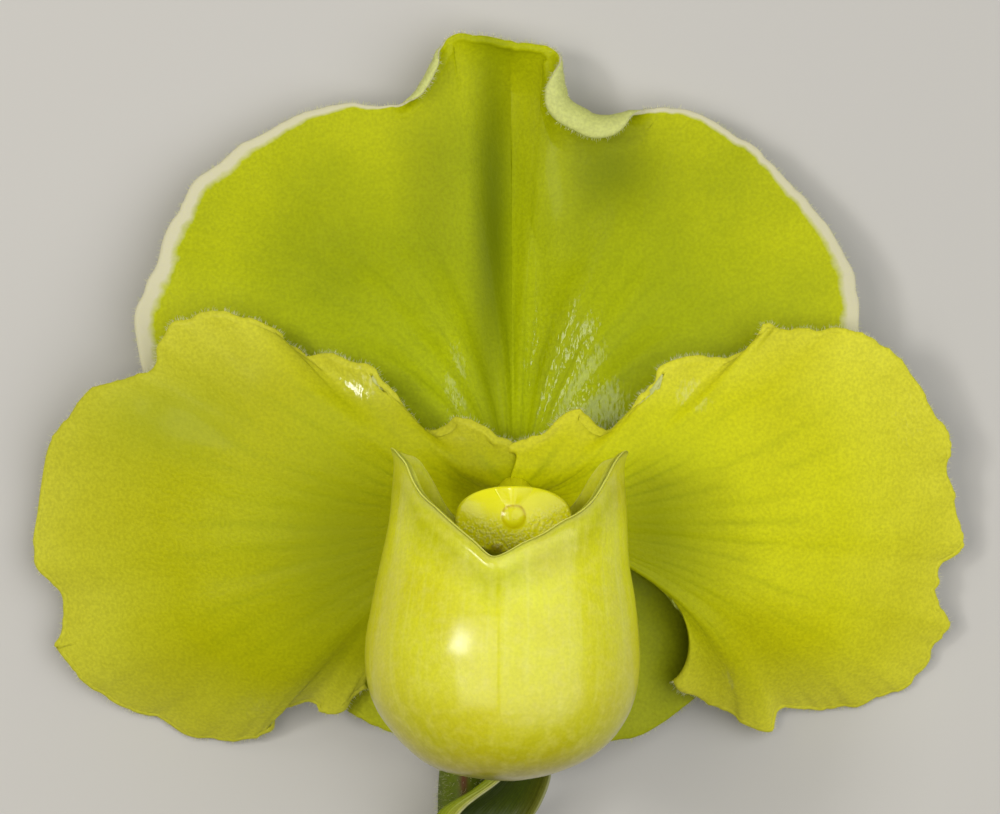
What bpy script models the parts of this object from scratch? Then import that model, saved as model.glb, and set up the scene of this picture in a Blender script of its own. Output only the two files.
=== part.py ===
# A picked paphiopedilum bloom lying on its back, face up.
# Lengths are millimetres in the flower's own axes: +X to the viewer's right, +Y towards the dorsal sepal's
# tip, +Z up and out of the flower's face. The table is z = 0. Meshes are written in metres.

from math import pi, radians

import bmesh
import bpy
import numpy as np
from mathutils import Matrix, Vector

MM = 0.001
TEPAL_THICK = 0.9
POUCH_THICK = 1.2
BRACT_THICK = 0.8
SEAT_GAP = 0.3
PRESS = 0.25
# A vein leans towards the midrib by VEIN_LEAN where it leaves the claw. Its two bends stand at these
# shares of its length, the outer one carried a little towards the midrib's end as well.
VEIN_LEAN = 0.65
BEND_IN, BEND_OUT, BEND_CARRY = 0.42, 0.72, 0.05

# The column stands on the claws of the sepals and leans forward into the mouth of the pouch.
COLUMN_FOOT = (1.9, -10.6, 15.3)
COLUMN_TOP = (1.7, -12.8, 31.8)
COLUMN_RADIUS = 2.4

# Each tepal has a claw edge, given by its two ends, the direction of its midrib, and a margin.
# A margin station is x, y, the height of the edge, and the height of the blade just inside it.
DORSAL = {
    "claw": ((-2.6, -9.3, 14.2), (6.2, -9.3, 14.2)),
    "midrib": (0.0, 1.0),
    "arch": 0.0,
    "side_lean": (0.0, 0.0),
    "margin": (
        (-43.2, -1.2, 8.6, 9.9), (-45.5, 1.8, 8.6, 9.6), (-47, 6, 8.6, 9.3), (-47.3, 11, 8.4, 8.9),
        (-46, 16, 8, 8.4), (-44.3, 20, 7.6, 8), (-42.5, 24.5, 7.2, 7.5), (-39, 29.8, 6.8, 6.8),
        (-35, 33.2, 6.4, 6.3), (-29, 36.7, 6, 5.7), (-24, 38.9, 5.8, 5.2), (-18, 41.2, 5.6, 4.8),
        (-13, 43.7, 5.4, 4.2), (-9, 46.5, 5.6, 3.4), (-5, 48.6, 6, 2.2), (-1.7, 48.4, 5.6, 1.4),
        (1.5, 48.2, 5.2, 0.6), (5, 47.6, 6, 1.4), (9.5, 46, 6, 2.4), (14, 43.7, 5.6, 3.4),
        (19, 41, 5.2, 4.4), (25, 38.7, 5.6, 5.1), (30, 36.2, 5.8, 5.6), (35, 32, 6.2, 6.1),
        (40, 27, 6.7, 6.6), (43.9, 22, 7.3, 7.2), (45.7, 18.5, 7.5, 7.6), (46.5, 13.5, 7.9, 8.4),
        (46.3, 9, 8.3, 8.9), (45, 5, 8.5, 9.4), (43, 1, 8.6, 9.8)),
    # A roll is where the margin turns over: x, y, half its length, how far it turns and the width that turns.
    "rolls": ((-12.5, 44.2, 4.2, 165, 5.8), (13.5, 44.0, 5.6, 190, 8.3)),
}
DORSAL_VALLEY = {"x": 1.5, "half_width": 5.5, "depth": 5.4}

PETAL_LEFT = {
    "claw": ((-1.0, -15.6, 17.2), (-1.6, -8.0, 19.0)),
    "midrib": (-0.97, -0.24),
    "arch": 2.0,
    "side_lean": (0.65, 0.0),
    "margin": (
        (-17, -36.5, 8.8, 12.6), (-20.3, -39.2, 6.8, 12.2), (-24, -39.6, 5.6, 11.8), (-27, -39.3, 4.6, 11.6),
        (-29.3, -41.5, 2.8, 11.1), (-32, -43.8, 1.4, 10.8), (-35.5, -44.2, 0.6, 10.6),
        (-39.5, -43.5, 0.5, 10.6), (-44.5, -41.3, 0.8, 10.6), (-49, -39.7, 1.6, 10.8),
        (-53, -37, 2.4, 11), (-58, -31.6, 3.6, 11.4),
        (-57.3, -28.5, 4.5, 11.6), (-57.8, -24, 4.6, 11.6), (-60.3, -21.5, 4, 11.6), (-60.3, -16, 4.2, 12),
        (-59.6, -10, 5, 12.4), (-57.5, -3, 6.6, 13.2), (-53, 2, 8.8, 14), (-48.8, 3.8, 10.6, 14.5),
        (-45.2, 4.8, 12.2, 14.9), (-43.4, 9, 13.6, 15.2), (-41, 11.4, 14.4, 15.5), (-37.5, 11.9, 15.2, 16),
        (-34, 12.2, 16.6, 16.8), (-30.5, 11.1, 15.8, 17), (-27.4, 8.9, 15, 17), (-24, 7.3, 15.6, 17.3),
        (-20.5, 6.6, 17.8, 18.4), (-16.6, 5.2, 18.8, 19.5), (-14, 3.2, 18.6, 19.6), (-11.2, 1.4, 18.8, 19.7),
        (-8.5, 0.4, 19, 19.8), (-5.8, -0.4, 19.8, 20.3), (-2.8, -2.2, 20.5, 20.8), (0, -4.4, 20.8, 21)),
    "rolls": ((-10.0, 1.0, 3.6, -105, 4.2),),
}

PETAL_RIGHT = {
    "claw": ((4.8, -15.6, 17.2), (5.4, -8.0, 19.0)),
    "midrib": (0.97, -0.24),
    "arch": 2.0,
    "side_lean": (0.65, 0.0),
    "margin": (
        (21.8, -35.2, 9.8, 12.4), (23.6, -37.2, 8.8, 12.4), (25.8, -38, 7.4, 12.4),
        (28.9, -40.1, 5, 11.8), (31.5, -41.3, 3.9, 11.4), (33.8, -42.4, 3.1, 11.2), (35.8, -42.6, 2.6, 11),
        (36.3, -40.4, 3, 11), (39.5, -40.5, 1.8, 10.8), (43, -40.3, 0.8, 10.7), (48.2, -39.4, 0.5, 10.6),
        (52.6, -37.2, 0.8, 10.7), (55.8, -34, 1.8, 10.9), (57.5, -31, 2.6, 11.2), (59.2, -28, 3.5, 11.4),
        (57.3, -25, 4.6, 11.6), (57, -22.3, 4.8, 11.6), (60.8, -18.4, 3.8, 11.8), (60, -15, 4.2, 12),
        (58.6, -8.5, 5.2, 12.5), (58.6, -4.3, 5.6, 12.8), (57, -1.3, 6.4, 13.1), (52.3, 5.2, 9, 14),
        (49.3, 8, 10.4, 14.5), (45, 9.8, 12.1, 15), (38.5, 10.1, 13.8, 15.6), (35.8, 11, 15, 16.1),
        (33.6, 10.9, 15.6, 16.4), (31.2, 8.8, 15, 16.6), (28.2, 7.1, 15.6, 17), (24.9, 6.6, 16.6, 17.6),
        (21.4, 5.9, 18, 18.4), (18.5, 3.6, 18.6, 19.2), (15.5, 1.8, 18.8, 19.6), (12.5, 0.5, 19, 19.8),
        (9.5, -0.3, 19.8, 20.3), (6.5, -2.2, 20.5, 20.8), (3.6, -4.4, 20.8, 21)),
    "rolls": ((13.8, 1.1, 3.6, -105, 4.2),),
}

SYNSEPAL = {
    "claw": ((5.8, -11.8, 14.0), (-2.4, -11.8, 14.0)),
    "midrib": (0.0, -1.0),
    "arch": 0.0,
    "side_lean": (0.0, 0.0),
    "margin": (
        (26.3, -25.6, 5.4, 8.2), (27.5, -32.8, 4.4, 7), (23.4, -39.6, 4.6, 7.2), (16, -43.1, 6.6, 8.8),
        (7.8, -44.7, 9, 10.2), (0, -45.2, 9.2, 10.4), (-7.8, -44.2, 8.2, 10), (-13.6, -42.5, 6, 8.6),
        (-20, -38.9, 4.6, 7.2), (-22.7, -34.3, 4.6, 7.2), (-21.4, -27.6, 5.6, 8.2)),
    "rolls": (),
}

# The pouch: height above the toe, half width, half depth, and how high its middle lies above the table.
POUCH_TOE = (1.6, -45.3)
POUCH_SECTIONS = (
    (0.0, 0.0, 0.0, 38.0), (0.5, 4.2, 3.6, 37.8), (1.7, 7.6, 6.5, 37.3), (4.7, 12.9, 11.0, 36.2),
    (9.6, 16.0, 13.3, 35.0), (15.7, 16.9, 14.0, 34.2), (20.0, 16.7, 13.8, 33.9), (26.8, 15.9, 13.0, 33.3),
    (34.0, 14.9, 12.0, 32.5), (41.0, 14.1, 11.2, 32.0))
# The rim: angle round the pouch from the front, positive to the right, and its height above the toe.
POUCH_RIM = (
    (-180, 31.0), (-155, 31.6), (-130, 34.0), (-108, 37.4), (-90, 40.2), (-78, 40.9), (-66, 39.0),
    (-56, 36.0), (-44, 33.6), (-30, 31.2), (-18, 28.9), (-8, 27.5), (4, 28.4), (18, 30.2), (32, 32.0),
    (46, 34.0), (58, 36.8), (68, 39.4), (80, 40.6), (92, 39.8), (108, 37.2), (130, 34.0), (155, 31.6),
    (180, 31.0))

STAMINODE = {"centre": (1.6, -14.3, 32.2), "half_width": 7.4, "half_height": 5.2, "thick": 1.2,
             "dome": 0.9, "knob": 1.4, "ridge": 0.9}
# The anthers and the stigma: height on the column, the side they stand at, and their half sizes.
GRAINS = (
    ("anther_left", 28.2, (-1, 0), (1.5, 1.7, 1.9)),
    ("anther_right", 28.2, (1, 0), (1.5, 1.7, 1.9)),
    ("stigma", 26.4, (0, -1), (2.6, 1.2, 2.4)),
)

OVARY_PATH = (
    (-4.6, -62.0, 3.9), (-4.2, -52.0, 3.8), (-3.2, -42.0, 3.8), (-1.4, -30.0, 3.8), (0.3, -19.5, 4.4),
    (1.4, -12.1, 7.2), (1.7, -10.8, 10.1), (1.7, -10.7, 12.7))
OVARY_RADII = (3.1, 3.1, 3.3, 3.4, 3.3, 3.1, 2.9, 3.0)
SCAPE_PATH = ((-4.62, -62.4, 3.4), (-5.3, -78.0, 3.0), (-6.6, -98.0, 2.9), (-8.6, -121.0, 2.9))
SCAPE_RADIUS = 3.0

# The bract, by rows of points from its clasping base to its tip, left edge to right edge.
BRACT_ROWS = (
    ((-8.5, -60.0, 3.9), (-7.3, -60.3, 6.9), (-4.5, -60.5, 8.0), (-1.7, -60.3, 6.9), (-0.5, -60.0, 3.9)),
    ((-8.6, -56.4, 6.8), (-6.6, -57.0, 8.2), (-3.2, -56.8, 8.2), (0.2, -56.2, 7.4), (2.6, -55.6, 6.8)),
    ((-4.8, -52.0, 10.6), (-2.6, -52.8, 8.9), (0.6, -52.4, 8.1), (3.4, -51.8, 8.3), (5.3, -51.3, 9.2)),
    ((-0.2, -48.3, 12.2), (1.0, -48.8, 10.5), (3.0, -48.6, 9.8), (5.1, -48.0, 10.0), (6.6, -47.4, 11.0)),
    ((3.2, -44.4, 13.2), (3.9, -43.9, 12.9), (4.7, -43.7, 12.8), (5.5, -43.8, 12.9), (6.2, -44.2, 13.2)))

COLOURS = {
    "sepal_green": (0.36, 0.45, 0.03),
    "petal_yellow": (0.52, 0.55, 0.03),
    "pouch_yellow": (0.58, 0.57, 0.05),
    "column_yellow": (0.62, 0.60, 0.10),
    "stalk_green": (0.22, 0.34, 0.08),
    "bract_green": (0.30, 0.38, 0.05),
}


def clear_scene():
    for obj in list(bpy.data.objects):
        bpy.data.objects.remove(obj, do_unlink=True)


def material(name, roughness):
    made = bpy.data.materials.new(name)
    made.use_nodes = True
    shader = made.node_tree.nodes["Principled BSDF"]
    shader.inputs["Base Color"].default_value = (*COLOURS[name], 1.0)
    shader.inputs["Roughness"].default_value = roughness
    shader.inputs["Metallic"].default_value = 0.0
    return made


def through(rows, places):
    """Smooth curve through the rows, one unit long, read at the given places along it."""
    rows = np.array(rows, float)
    gaps = np.linalg.norm(np.diff(rows[:, :min(3, rows.shape[1])], axis=0), axis=1)
    at = np.concatenate([[0.0], np.cumsum(gaps)])
    at /= at[-1]
    return hermite(at, rows, places)


def hermite(at, rows, places):
    """Cubic Hermite curve through rows that stand at the places at."""
    slopes = np.gradient(rows, at, axis=0)
    index = np.clip(np.searchsorted(at, places, side="right") - 1, 0, len(at) - 2)
    gap = at[index + 1] - at[index]
    f = (places - at[index]) / gap
    if rows.ndim > 1:
        gap, f = gap[:, None], f[:, None]
    start = (2 * f**3 - 3 * f**2 + 1) * rows[index] + (f**3 - 2 * f**2 + f) * gap * slopes[index]
    end = (3 * f**2 - 2 * f**3) * rows[index + 1] + (f**3 - f**2) * gap * slopes[index + 1]
    return start + end


def unit(vectors):
    return vectors / np.maximum(np.linalg.norm(vectors, axis=1, keepdims=True), 1e-9)


def blade_points(tepal, edge, sides):
    """A point of the blade for each along-the-vein place `edge` (0 at the claw, 1 at the margin)
    and across-the-veins place `sides` (0 and 1 at the two side edges). Each vein is a cubic Bezier
    that leaves the claw towards the midrib's end and turns out to the margin. The veins straighten
    towards a side edge whose lean is 0."""
    margin = through(tepal["margin"], sides)
    first, last = (np.array(end) for end in tepal["claw"])
    claw = first + (last - first) * sides[:, None]
    along = margin[:, :2] - claw[:, :2]
    length = np.linalg.norm(along, axis=1, keepdims=True)
    first_lean, last_lean = tepal["side_lean"]
    lean = np.interp(sides, (0, 0.12, 0.75, 1), (first_lean, VEIN_LEAN, VEIN_LEAN, last_lean))[:, None]
    heading = unit(lean * np.array(tepal["midrib"]) + (1 - lean) * unit(along))
    bend_in = claw[:, :2] + BEND_IN * length * heading
    bend_out = claw[:, :2] + BEND_OUT * along + BEND_CARRY * length * heading
    s = edge[:, None]
    flat = ((1 - s)**3 * claw[:, :2] + 3 * (1 - s)**2 * s * bend_in
            + 3 * (1 - s) * s**2 * bend_out + s**3 * margin[:, :2])
    rise = 1 - (1 - edge)**1.7
    height = claw[:, 2] + (margin[:, 3] - claw[:, 2]) * rise + (margin[:, 2] - margin[:, 3]) * edge**5
    height += tepal["arch"] * np.sin(pi * edge)**2 * np.clip(length[:, 0] / 40, 0, 1)
    return np.column_stack([flat, height])


def rolled_points(tepal, edge, sides):
    """The blade with its margin turned over at each roll, about an arc that starts where the roll starts."""
    points = blade_points(tepal, edge, sides)
    margin = through(tepal["margin"], sides)
    claw = np.array(tepal["claw"]).mean(axis=0)
    reach = np.linalg.norm(margin[:, :2] - claw[:2], axis=1)
    for x, y, half_length, turn, width in tepal["rolls"]:
        away = np.hypot(margin[:, 0] - x, margin[:, 1] - y) / half_length
        strength = np.exp(-away**4)
        angle = radians(turn) * np.maximum(strength, 1e-3)
        start = 1 - width / reach
        root = blade_points(tepal, start, sides)
        before = blade_points(tepal, start - 0.02, sides)
        heading = unit(root - before)
        level = unit(heading * np.array([1, 1, 0]))
        tilt = np.arcsin(heading[:, 2])
        run = np.clip(edge - start, 0, None) / (1 - start) * width
        swing = tilt + angle * run / width
        radius = width / angle
        out = radius * (np.sin(swing) - np.sin(tilt))
        up = radius * (np.cos(tilt) - np.cos(swing))
        turned = root + level * out[:, None] + np.array([0, 0, 1]) * up[:, None]
        share = np.where(edge > start, np.clip(strength * 4, 0, 1), 0.0)[:, None]
        points = points * (1 - share) + turned * share
    return points


def crowd_margin(edge):
    """Rows of a blade stand closer together towards its margin, where it waves and rolls."""
    return 1 - (1 - edge)**1.4


def dorsal_points(edge, sides):
    """The dorsal sepal has a valley along its middle, whose keel underneath rests on the table.
    Its columns stand closer together at the tip, beside which the margin rolls forward."""
    edge = crowd_margin(edge)
    sides = sides + 0.62 * np.sin(2 * pi * sides) / (2 * pi)
    points = rolled_points(DORSAL, edge, sides)
    away = (points[:, 0] - DORSAL_VALLEY["x"]) / DORSAL_VALLEY["half_width"]
    depth = DORSAL_VALLEY["depth"] * np.exp(-away**2) * np.sin(pi * np.clip(edge, 0, 1))**1.3
    points[:, 2] = np.maximum(points[:, 2] - depth, TEPAL_THICK / 2)
    return points


def petal_points(tepal):
    def points(edge, sides):
        placed = rolled_points(tepal, crowd_margin(edge), sides)
        placed[:, 2] = np.maximum(placed[:, 2], TEPAL_THICK / 2)
        return placed
    return points


def pouch_points(rise, around):
    """The pouch: rise runs from the toe to the rim, around from the back seam, by the front, to the back."""
    angle = 360 * around - 180
    rim = np.array(POUCH_RIM, float)
    top = hermite(rim[:, 0], rim[:, 1], angle)
    height = top * rise**1.25
    sections = np.array(POUCH_SECTIONS, float)
    wide, deep, middle = hermite(np.sqrt(sections[:, 0]), sections[:, 1:], np.sqrt(height)).T
    turn = np.radians(angle)
    return np.column_stack([
        POUCH_TOE[0] + wide * np.sin(turn), POUCH_TOE[1] + height, middle + deep * np.cos(turn)])


def staminode_points(out, around):
    """A shield: an oval with a notch below, domed, with a small knob in its middle."""
    turn = 2 * pi * around
    notch = 1 - 0.16 * np.exp(-((turn - 1.5 * pi) / 0.28)**2)
    x = STAMINODE["half_width"] * out * notch * np.cos(turn)
    y = STAMINODE["half_height"] * out * notch * np.sin(turn)
    knob = STAMINODE["knob"] * np.exp(-((x + 0.1) / 1.1)**2 - ((y - 0.2) / 1.1)**2)
    ridge = STAMINODE["ridge"] * np.exp(-(x / 1.6)**2) * np.clip((y - 0.6) / 3, 0, 1)
    z = STAMINODE["dome"] * (1 - out**2) + knob + ridge
    return np.column_stack([x, y, z]) + np.array(STAMINODE["centre"])


def bract_points(along, across):
    """The bract, smooth through its rows of points both ways."""
    places = np.linspace(0, 1, len(BRACT_ROWS[0]))
    rows = np.linspace(0, 1, len(BRACT_ROWS))
    nets = [hermite(places, np.array(row), across) for row in BRACT_ROWS]
    stacked = np.stack(nets)
    slopes = np.gradient(stacked, rows, axis=0)
    index = np.clip((along * (len(rows) - 1)).astype(int), 0, len(rows) - 2)
    f = (along * (len(rows) - 1) - index)[:, None]
    gap = rows[1]
    own = np.arange(len(across))
    start = (2 * f**3 - 3 * f**2 + 1) * stacked[index, own] + (f**3 - 2 * f**2 + f) * gap * slopes[index, own]
    end = (3 * f**2 - 2 * f**3) * stacked[index + 1, own] + (f**3 - f**2) * gap * slopes[index + 1, own]
    return start + end


def ovary_points(along, around):
    """The ovary: a tube along its path with three rounded ribs, which fade at its ends."""
    path = through(np.column_stack([OVARY_PATH, OVARY_RADII]), along)
    ahead = through(OVARY_PATH, np.clip(along + 0.01, 0, 1))
    behind = through(OVARY_PATH, np.clip(along - 0.01, 0, 1))
    tangent = unit(ahead - behind)
    side = unit(np.cross(tangent, np.array([-1.0, 0, 0])))
    other = np.cross(tangent, side)
    turn = 2 * pi * around
    radius = path[:, 3] * (1 + 0.07 * np.cos(3 * turn) * np.sin(pi * along))
    offset = side * (radius * np.cos(turn))[:, None] + other * (radius * np.sin(turn))[:, None]
    return path[:, :3] + offset


def place(name, mesh, finish, collection, holder):
    obj = bpy.data.objects.new(name, mesh)
    obj.parent = holder
    obj.data.materials.append(finish)
    collection.objects.link(obj)
    return obj


def grid_mesh(name, points, columns, rows, closed=False, cap=False):
    """A grid primitive carried to the points of a surface function. A closed one is joined round
    its columns, and a capped one has its two open ends filled."""
    bm = bmesh.new()
    bmesh.ops.create_grid(bm, x_segments=columns, y_segments=rows, size=0.5)
    bm.verts.ensure_lookup_table()
    places = np.array([vert.co for vert in bm.verts]) + 0.5
    moved = points(np.clip(places[:, 1], 0, 1), np.clip(places[:, 0], 0, 1)) * MM
    for vert, spot in zip(bm.verts, moved):
        vert.co = spot
    bmesh.ops.remove_doubles(bm, verts=bm.verts, dist=1e-6)
    if cap:
        open_edges = [edge for edge in bm.edges if edge.is_boundary]
        bmesh.ops.holes_fill(bm, edges=open_edges, sides=0)
    bmesh.ops.triangulate(bm, faces=bm.faces)
    if closed:
        bmesh.ops.recalc_face_normals(bm, faces=bm.faces)
    mesh = bpy.data.meshes.new(name)
    bm.to_mesh(mesh)
    bm.free()
    mesh.shade_smooth()
    return mesh


def thicken(obj, thickness, offset):
    solid = obj.modifiers.new("thickness", "SOLIDIFY")
    solid.thickness = thickness * MM
    solid.offset = offset
    solid.use_quality_normals = True


def press_to_table(obj):
    """What lies lower than PRESS is pressed flat on the table, where the bloom rests."""
    bpy.context.view_layer.update()
    graph = bpy.context.evaluated_depsgraph_get()
    mesh = bpy.data.meshes.new_from_object(obj.evaluated_get(graph))
    for vert in mesh.vertices:
        if vert.co.z < PRESS * MM:
            vert.co.z = 0.0
    obj.modifiers.clear()
    obj.data = mesh


def build_tepals(collection, holder, green, yellow):
    """Each blade by its surface, its columns across the veins and its rows along them."""
    blades = (
        ("dorsal_sepal", dorsal_points, 58, 11, green),
        ("synsepal", petal_points(SYNSEPAL), 22, 7, green),
        ("petal_left", petal_points(PETAL_LEFT), 54, 9, yellow),
        ("petal_right", petal_points(PETAL_RIGHT), 58, 9, yellow),
    )
    for name, points, columns, rows, finish in blades:
        obj = place(name, grid_mesh(name, points, columns, rows), finish, collection, holder)
        thicken(obj, TEPAL_THICK, 0.0)
        press_to_table(obj)


def build_pouch(collection, holder, finish):
    mesh = grid_mesh("pouch", pouch_points, 40, 12, closed=True)
    obj = place("pouch", mesh, finish, collection, holder)
    thicken(obj, POUCH_THICK, -1.0)


def build_staminode(collection, holder, finish):
    mesh = grid_mesh("staminode", staminode_points, 26, 7)
    obj = place("staminode", mesh, finish, collection, holder)
    thicken(obj, STAMINODE["thick"], 0.0)


def build_column(collection, holder, finish):
    foot, top = Vector(COLUMN_FOOT), Vector(COLUMN_TOP)
    axis = top - foot
    bm = bmesh.new()
    lean = Matrix.Translation((foot + top) / 2 * MM) @ axis.to_track_quat("Z", "Y").to_matrix().to_4x4()
    bmesh.ops.create_cone(bm, cap_ends=True, segments=20, radius1=COLUMN_RADIUS * MM,
                          radius2=COLUMN_RADIUS * MM, depth=axis.length * MM, matrix=lean)
    bmesh.ops.triangulate(bm, faces=bm.faces)
    mesh = bpy.data.meshes.new("column")
    bm.to_mesh(mesh)
    bm.free()
    place("column", mesh, finish, collection, holder)


def column_at(height):
    """The middle of the column at a height above the table."""
    foot, top = Vector(COLUMN_FOOT), Vector(COLUMN_TOP)
    return foot.lerp(top, (height - foot.z) / (top.z - foot.z))


def build_grains(collection, holder, finish):
    """Two anthers at the column's sides and the stigma below it, each a flattened ball."""
    reach = COLUMN_RADIUS + SEAT_GAP
    for name, height, side, size in GRAINS:
        middle = column_at(height)
        out = reach + (size[0] if side[0] else size[1])
        middle.x += side[0] * out
        middle.y += side[1] * out
        bm = bmesh.new()
        shape = Matrix.Translation(middle * MM) @ Matrix.Diagonal((*[part * MM for part in size], 1))
        bmesh.ops.create_uvsphere(bm, u_segments=14, v_segments=10, radius=1, matrix=shape)
        bmesh.ops.triangulate(bm, faces=bm.faces)
        mesh = bpy.data.meshes.new(name)
        bm.to_mesh(mesh)
        bm.free()
        mesh.shade_smooth()
        place(name, mesh, finish, collection, holder)


def build_ovary(collection, holder, finish):
    mesh = grid_mesh("ovary", ovary_points, 18, 18, closed=True, cap=True)
    place("ovary", mesh, finish, collection, holder)


def build_scape(collection, holder, finish):
    curve = bpy.data.curves.new("scape", "CURVE")
    curve.dimensions = "3D"
    curve.bevel_depth = SCAPE_RADIUS * MM
    curve.bevel_resolution = 3
    curve.use_fill_caps = True
    points = through(SCAPE_PATH, np.linspace(0, 1, 12)) * MM
    spline = curve.splines.new("POLY")
    spline.points.add(len(points) - 1)
    for point, spot in zip(spline.points, points):
        point.co = (*spot, 1)
    place("scape", curve, finish, collection, holder)


def build_bract(collection, holder, finish):
    mesh = grid_mesh("bract", bract_points, 10, 12)
    obj = place("bract", mesh, finish, collection, holder)
    thicken(obj, BRACT_THICK, 0.0)


def centre_on_table(collection, holder):
    """The origin goes to the middle of the box, on the table."""
    bpy.context.view_layer.update()
    graph = bpy.context.evaluated_depsgraph_get()
    corners = []
    for obj in collection.objects:
        if obj.type != "EMPTY":
            read = obj.evaluated_get(graph)
            mesh = read.to_mesh()
            corners += [read.matrix_world @ vert.co for vert in mesh.vertices]
            read.to_mesh_clear()
    corners = np.array(corners)
    low, high = corners.min(axis=0), corners.max(axis=0)
    holder.location = (-(low[0] + high[0]) / 2, -(low[1] + high[1]) / 2, -low[2])


def main():
    clear_scene()
    collection = bpy.data.collections.new("paphiopedilum_bloom")
    bpy.context.scene.collection.children.link(collection)
    holder = bpy.data.objects.new("bloom", None)
    collection.objects.link(holder)
    green = material("sepal_green", 0.42)
    yellow = material("petal_yellow", 0.40)
    build_tepals(collection, holder, green, yellow)
    build_pouch(collection, holder, material("pouch_yellow", 0.28))
    column = material("column_yellow", 0.38)
    build_staminode(collection, holder, column)
    build_column(collection, holder, column)
    build_grains(collection, holder, column)
    stalk = material("stalk_green", 0.6)
    build_ovary(collection, holder, stalk)
    build_scape(collection, holder, stalk)
    build_bract(collection, holder, material("bract_green", 0.45))
    centre_on_table(collection, holder)


main()
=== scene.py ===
# A picked paphiopedilum bloom lying face up: the looks of its pieces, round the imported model.
# Lengths are millimetres in the flower's own axes, +X to the viewer's right, +Y towards the dorsal
# sepal's tip, +Z out of the flower's face, until placed() carries them to the frame in metres.
from math import pi

import bmesh
import bpy
import numpy as np
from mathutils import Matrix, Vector


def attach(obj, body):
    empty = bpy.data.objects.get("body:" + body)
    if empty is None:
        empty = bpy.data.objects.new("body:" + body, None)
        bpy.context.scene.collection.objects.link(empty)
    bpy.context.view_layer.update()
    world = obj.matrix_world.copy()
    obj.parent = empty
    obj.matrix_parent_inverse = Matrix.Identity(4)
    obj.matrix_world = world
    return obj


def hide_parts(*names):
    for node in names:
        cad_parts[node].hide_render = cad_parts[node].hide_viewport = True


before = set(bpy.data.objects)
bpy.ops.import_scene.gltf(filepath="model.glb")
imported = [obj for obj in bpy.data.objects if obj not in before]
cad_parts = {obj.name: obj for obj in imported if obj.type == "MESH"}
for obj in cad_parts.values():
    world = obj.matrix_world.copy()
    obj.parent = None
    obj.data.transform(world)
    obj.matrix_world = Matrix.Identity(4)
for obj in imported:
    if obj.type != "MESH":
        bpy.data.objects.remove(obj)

mm = 0.001
bloomPlace = np.array([-0.1158, 36.2188, 0.0])  # where the flower's own axes start in the frame
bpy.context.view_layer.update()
rng = np.random.default_rng(11)
print("frame loaded")


# Shapes


def hermite(at, rows, places):
    # cubic Hermite curve through rows that stand at the places at, with slopes from their neighbours
    slopes = np.gradient(rows, at, axis=0)
    index = np.clip(np.searchsorted(at, places, side="right") - 1, 0, len(at) - 2)
    shape = (-1,) + (1,) * (rows.ndim - 1)
    gap = (at[index + 1] - at[index]).reshape(shape)
    f = (places - at[index]).reshape(shape) / gap
    start = (2 * f**3 - 3 * f**2 + 1) * rows[index] + (f**3 - 2 * f**2 + f) * gap * slopes[index]
    end = (3 * f**2 - 2 * f**3) * rows[index + 1] + (f**3 - f**2) * gap * slopes[index + 1]
    return start + end


def through(rows, places):
    # the curve through the rows, one unit long, read at the given places along it
    rows = np.array(rows, float)
    gaps = np.linalg.norm(np.diff(rows[:, :min(3, rows.shape[1])], axis=0), axis=1)
    at = np.concatenate([[0.0], np.cumsum(gaps)])
    return hermite(at / at[-1], rows, places)


def unit(vectors):
    return vectors / np.maximum(np.linalg.norm(vectors, axis=-1, keepdims=True), 1e-9)


def lumps(points, size, seed=0):
    # smooth noise from -1 to 1: random values on a lattice of this size, blended by 3f^2 - 2f^3
    cells = np.asarray(points, float) / size
    low = np.floor(cells).astype(np.int64)
    f = cells - low
    f = f * f * (3 - 2 * f)
    total = 0.0
    for corner in np.ndindex(2, 2, 2):
        mixed = ((low + corner) * np.array([73856093, 19349663, 83492791])).sum(axis=-1) + seed * 97531
        mixed = (mixed ^ (mixed >> 13)) * 1274126177
        value = ((mixed ^ (mixed >> 16)) & 65535) / 32767.5 - 1
        total = total + value * np.prod(np.where(corner, f, 1 - f), axis=-1)
    return total


def wobble(along, size, seed=0):
    # the same noise along one line
    return lumps(np.stack([along, along * 0, along * 0], axis=-1), size, seed)


def gridNormals(points):
    # unit normals of a rows x columns grid: the cross product of its two directions
    across = np.gradient(points, axis=1)
    along = np.gradient(points, axis=0)
    return unit(np.cross(across, along))


def upward(normals):
    # 1 if most of a grid's normals point up, else -1
    return 1 if np.median(normals[..., 2]) > 0 else -1


def evenGrid(rows, columns, start=0.0):
    # two grids of places from 0 to 1, one that grows from row to row and one from column to column
    return np.meshgrid(np.linspace(start, 1, rows), np.linspace(0, 1, columns), indexing="ij")


def roundedEdge(inwards, least):
    # share of the full thickness, a quarter circle from the rim (inwards 0) to where it is full (1)
    return np.sqrt(np.clip(1 - (1 - np.clip(inwards, 0, 1))**2, least, 1))


def bell(points, x, y, wide, tall):
    # a round fade about one place: exp(-(x / wide)^2 - (y / tall)^2)
    return np.exp(-((points[..., 0] - x) / wide)**2 - ((points[..., 1] - y) / tall)**2)


def spots(points, places):
    # the strongest of some round fades: x, y, two half widths and how strong
    total = np.zeros(points.shape[:-1])
    for *spot, strength in places:
        total = np.maximum(total, strength * bell(points, *spot))
    return total


def placed(points):
    # from millimetres in the flower's axes to metres in the frame
    return (np.asarray(points).reshape(-1, 3) + bloomPlace) * mm


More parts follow.
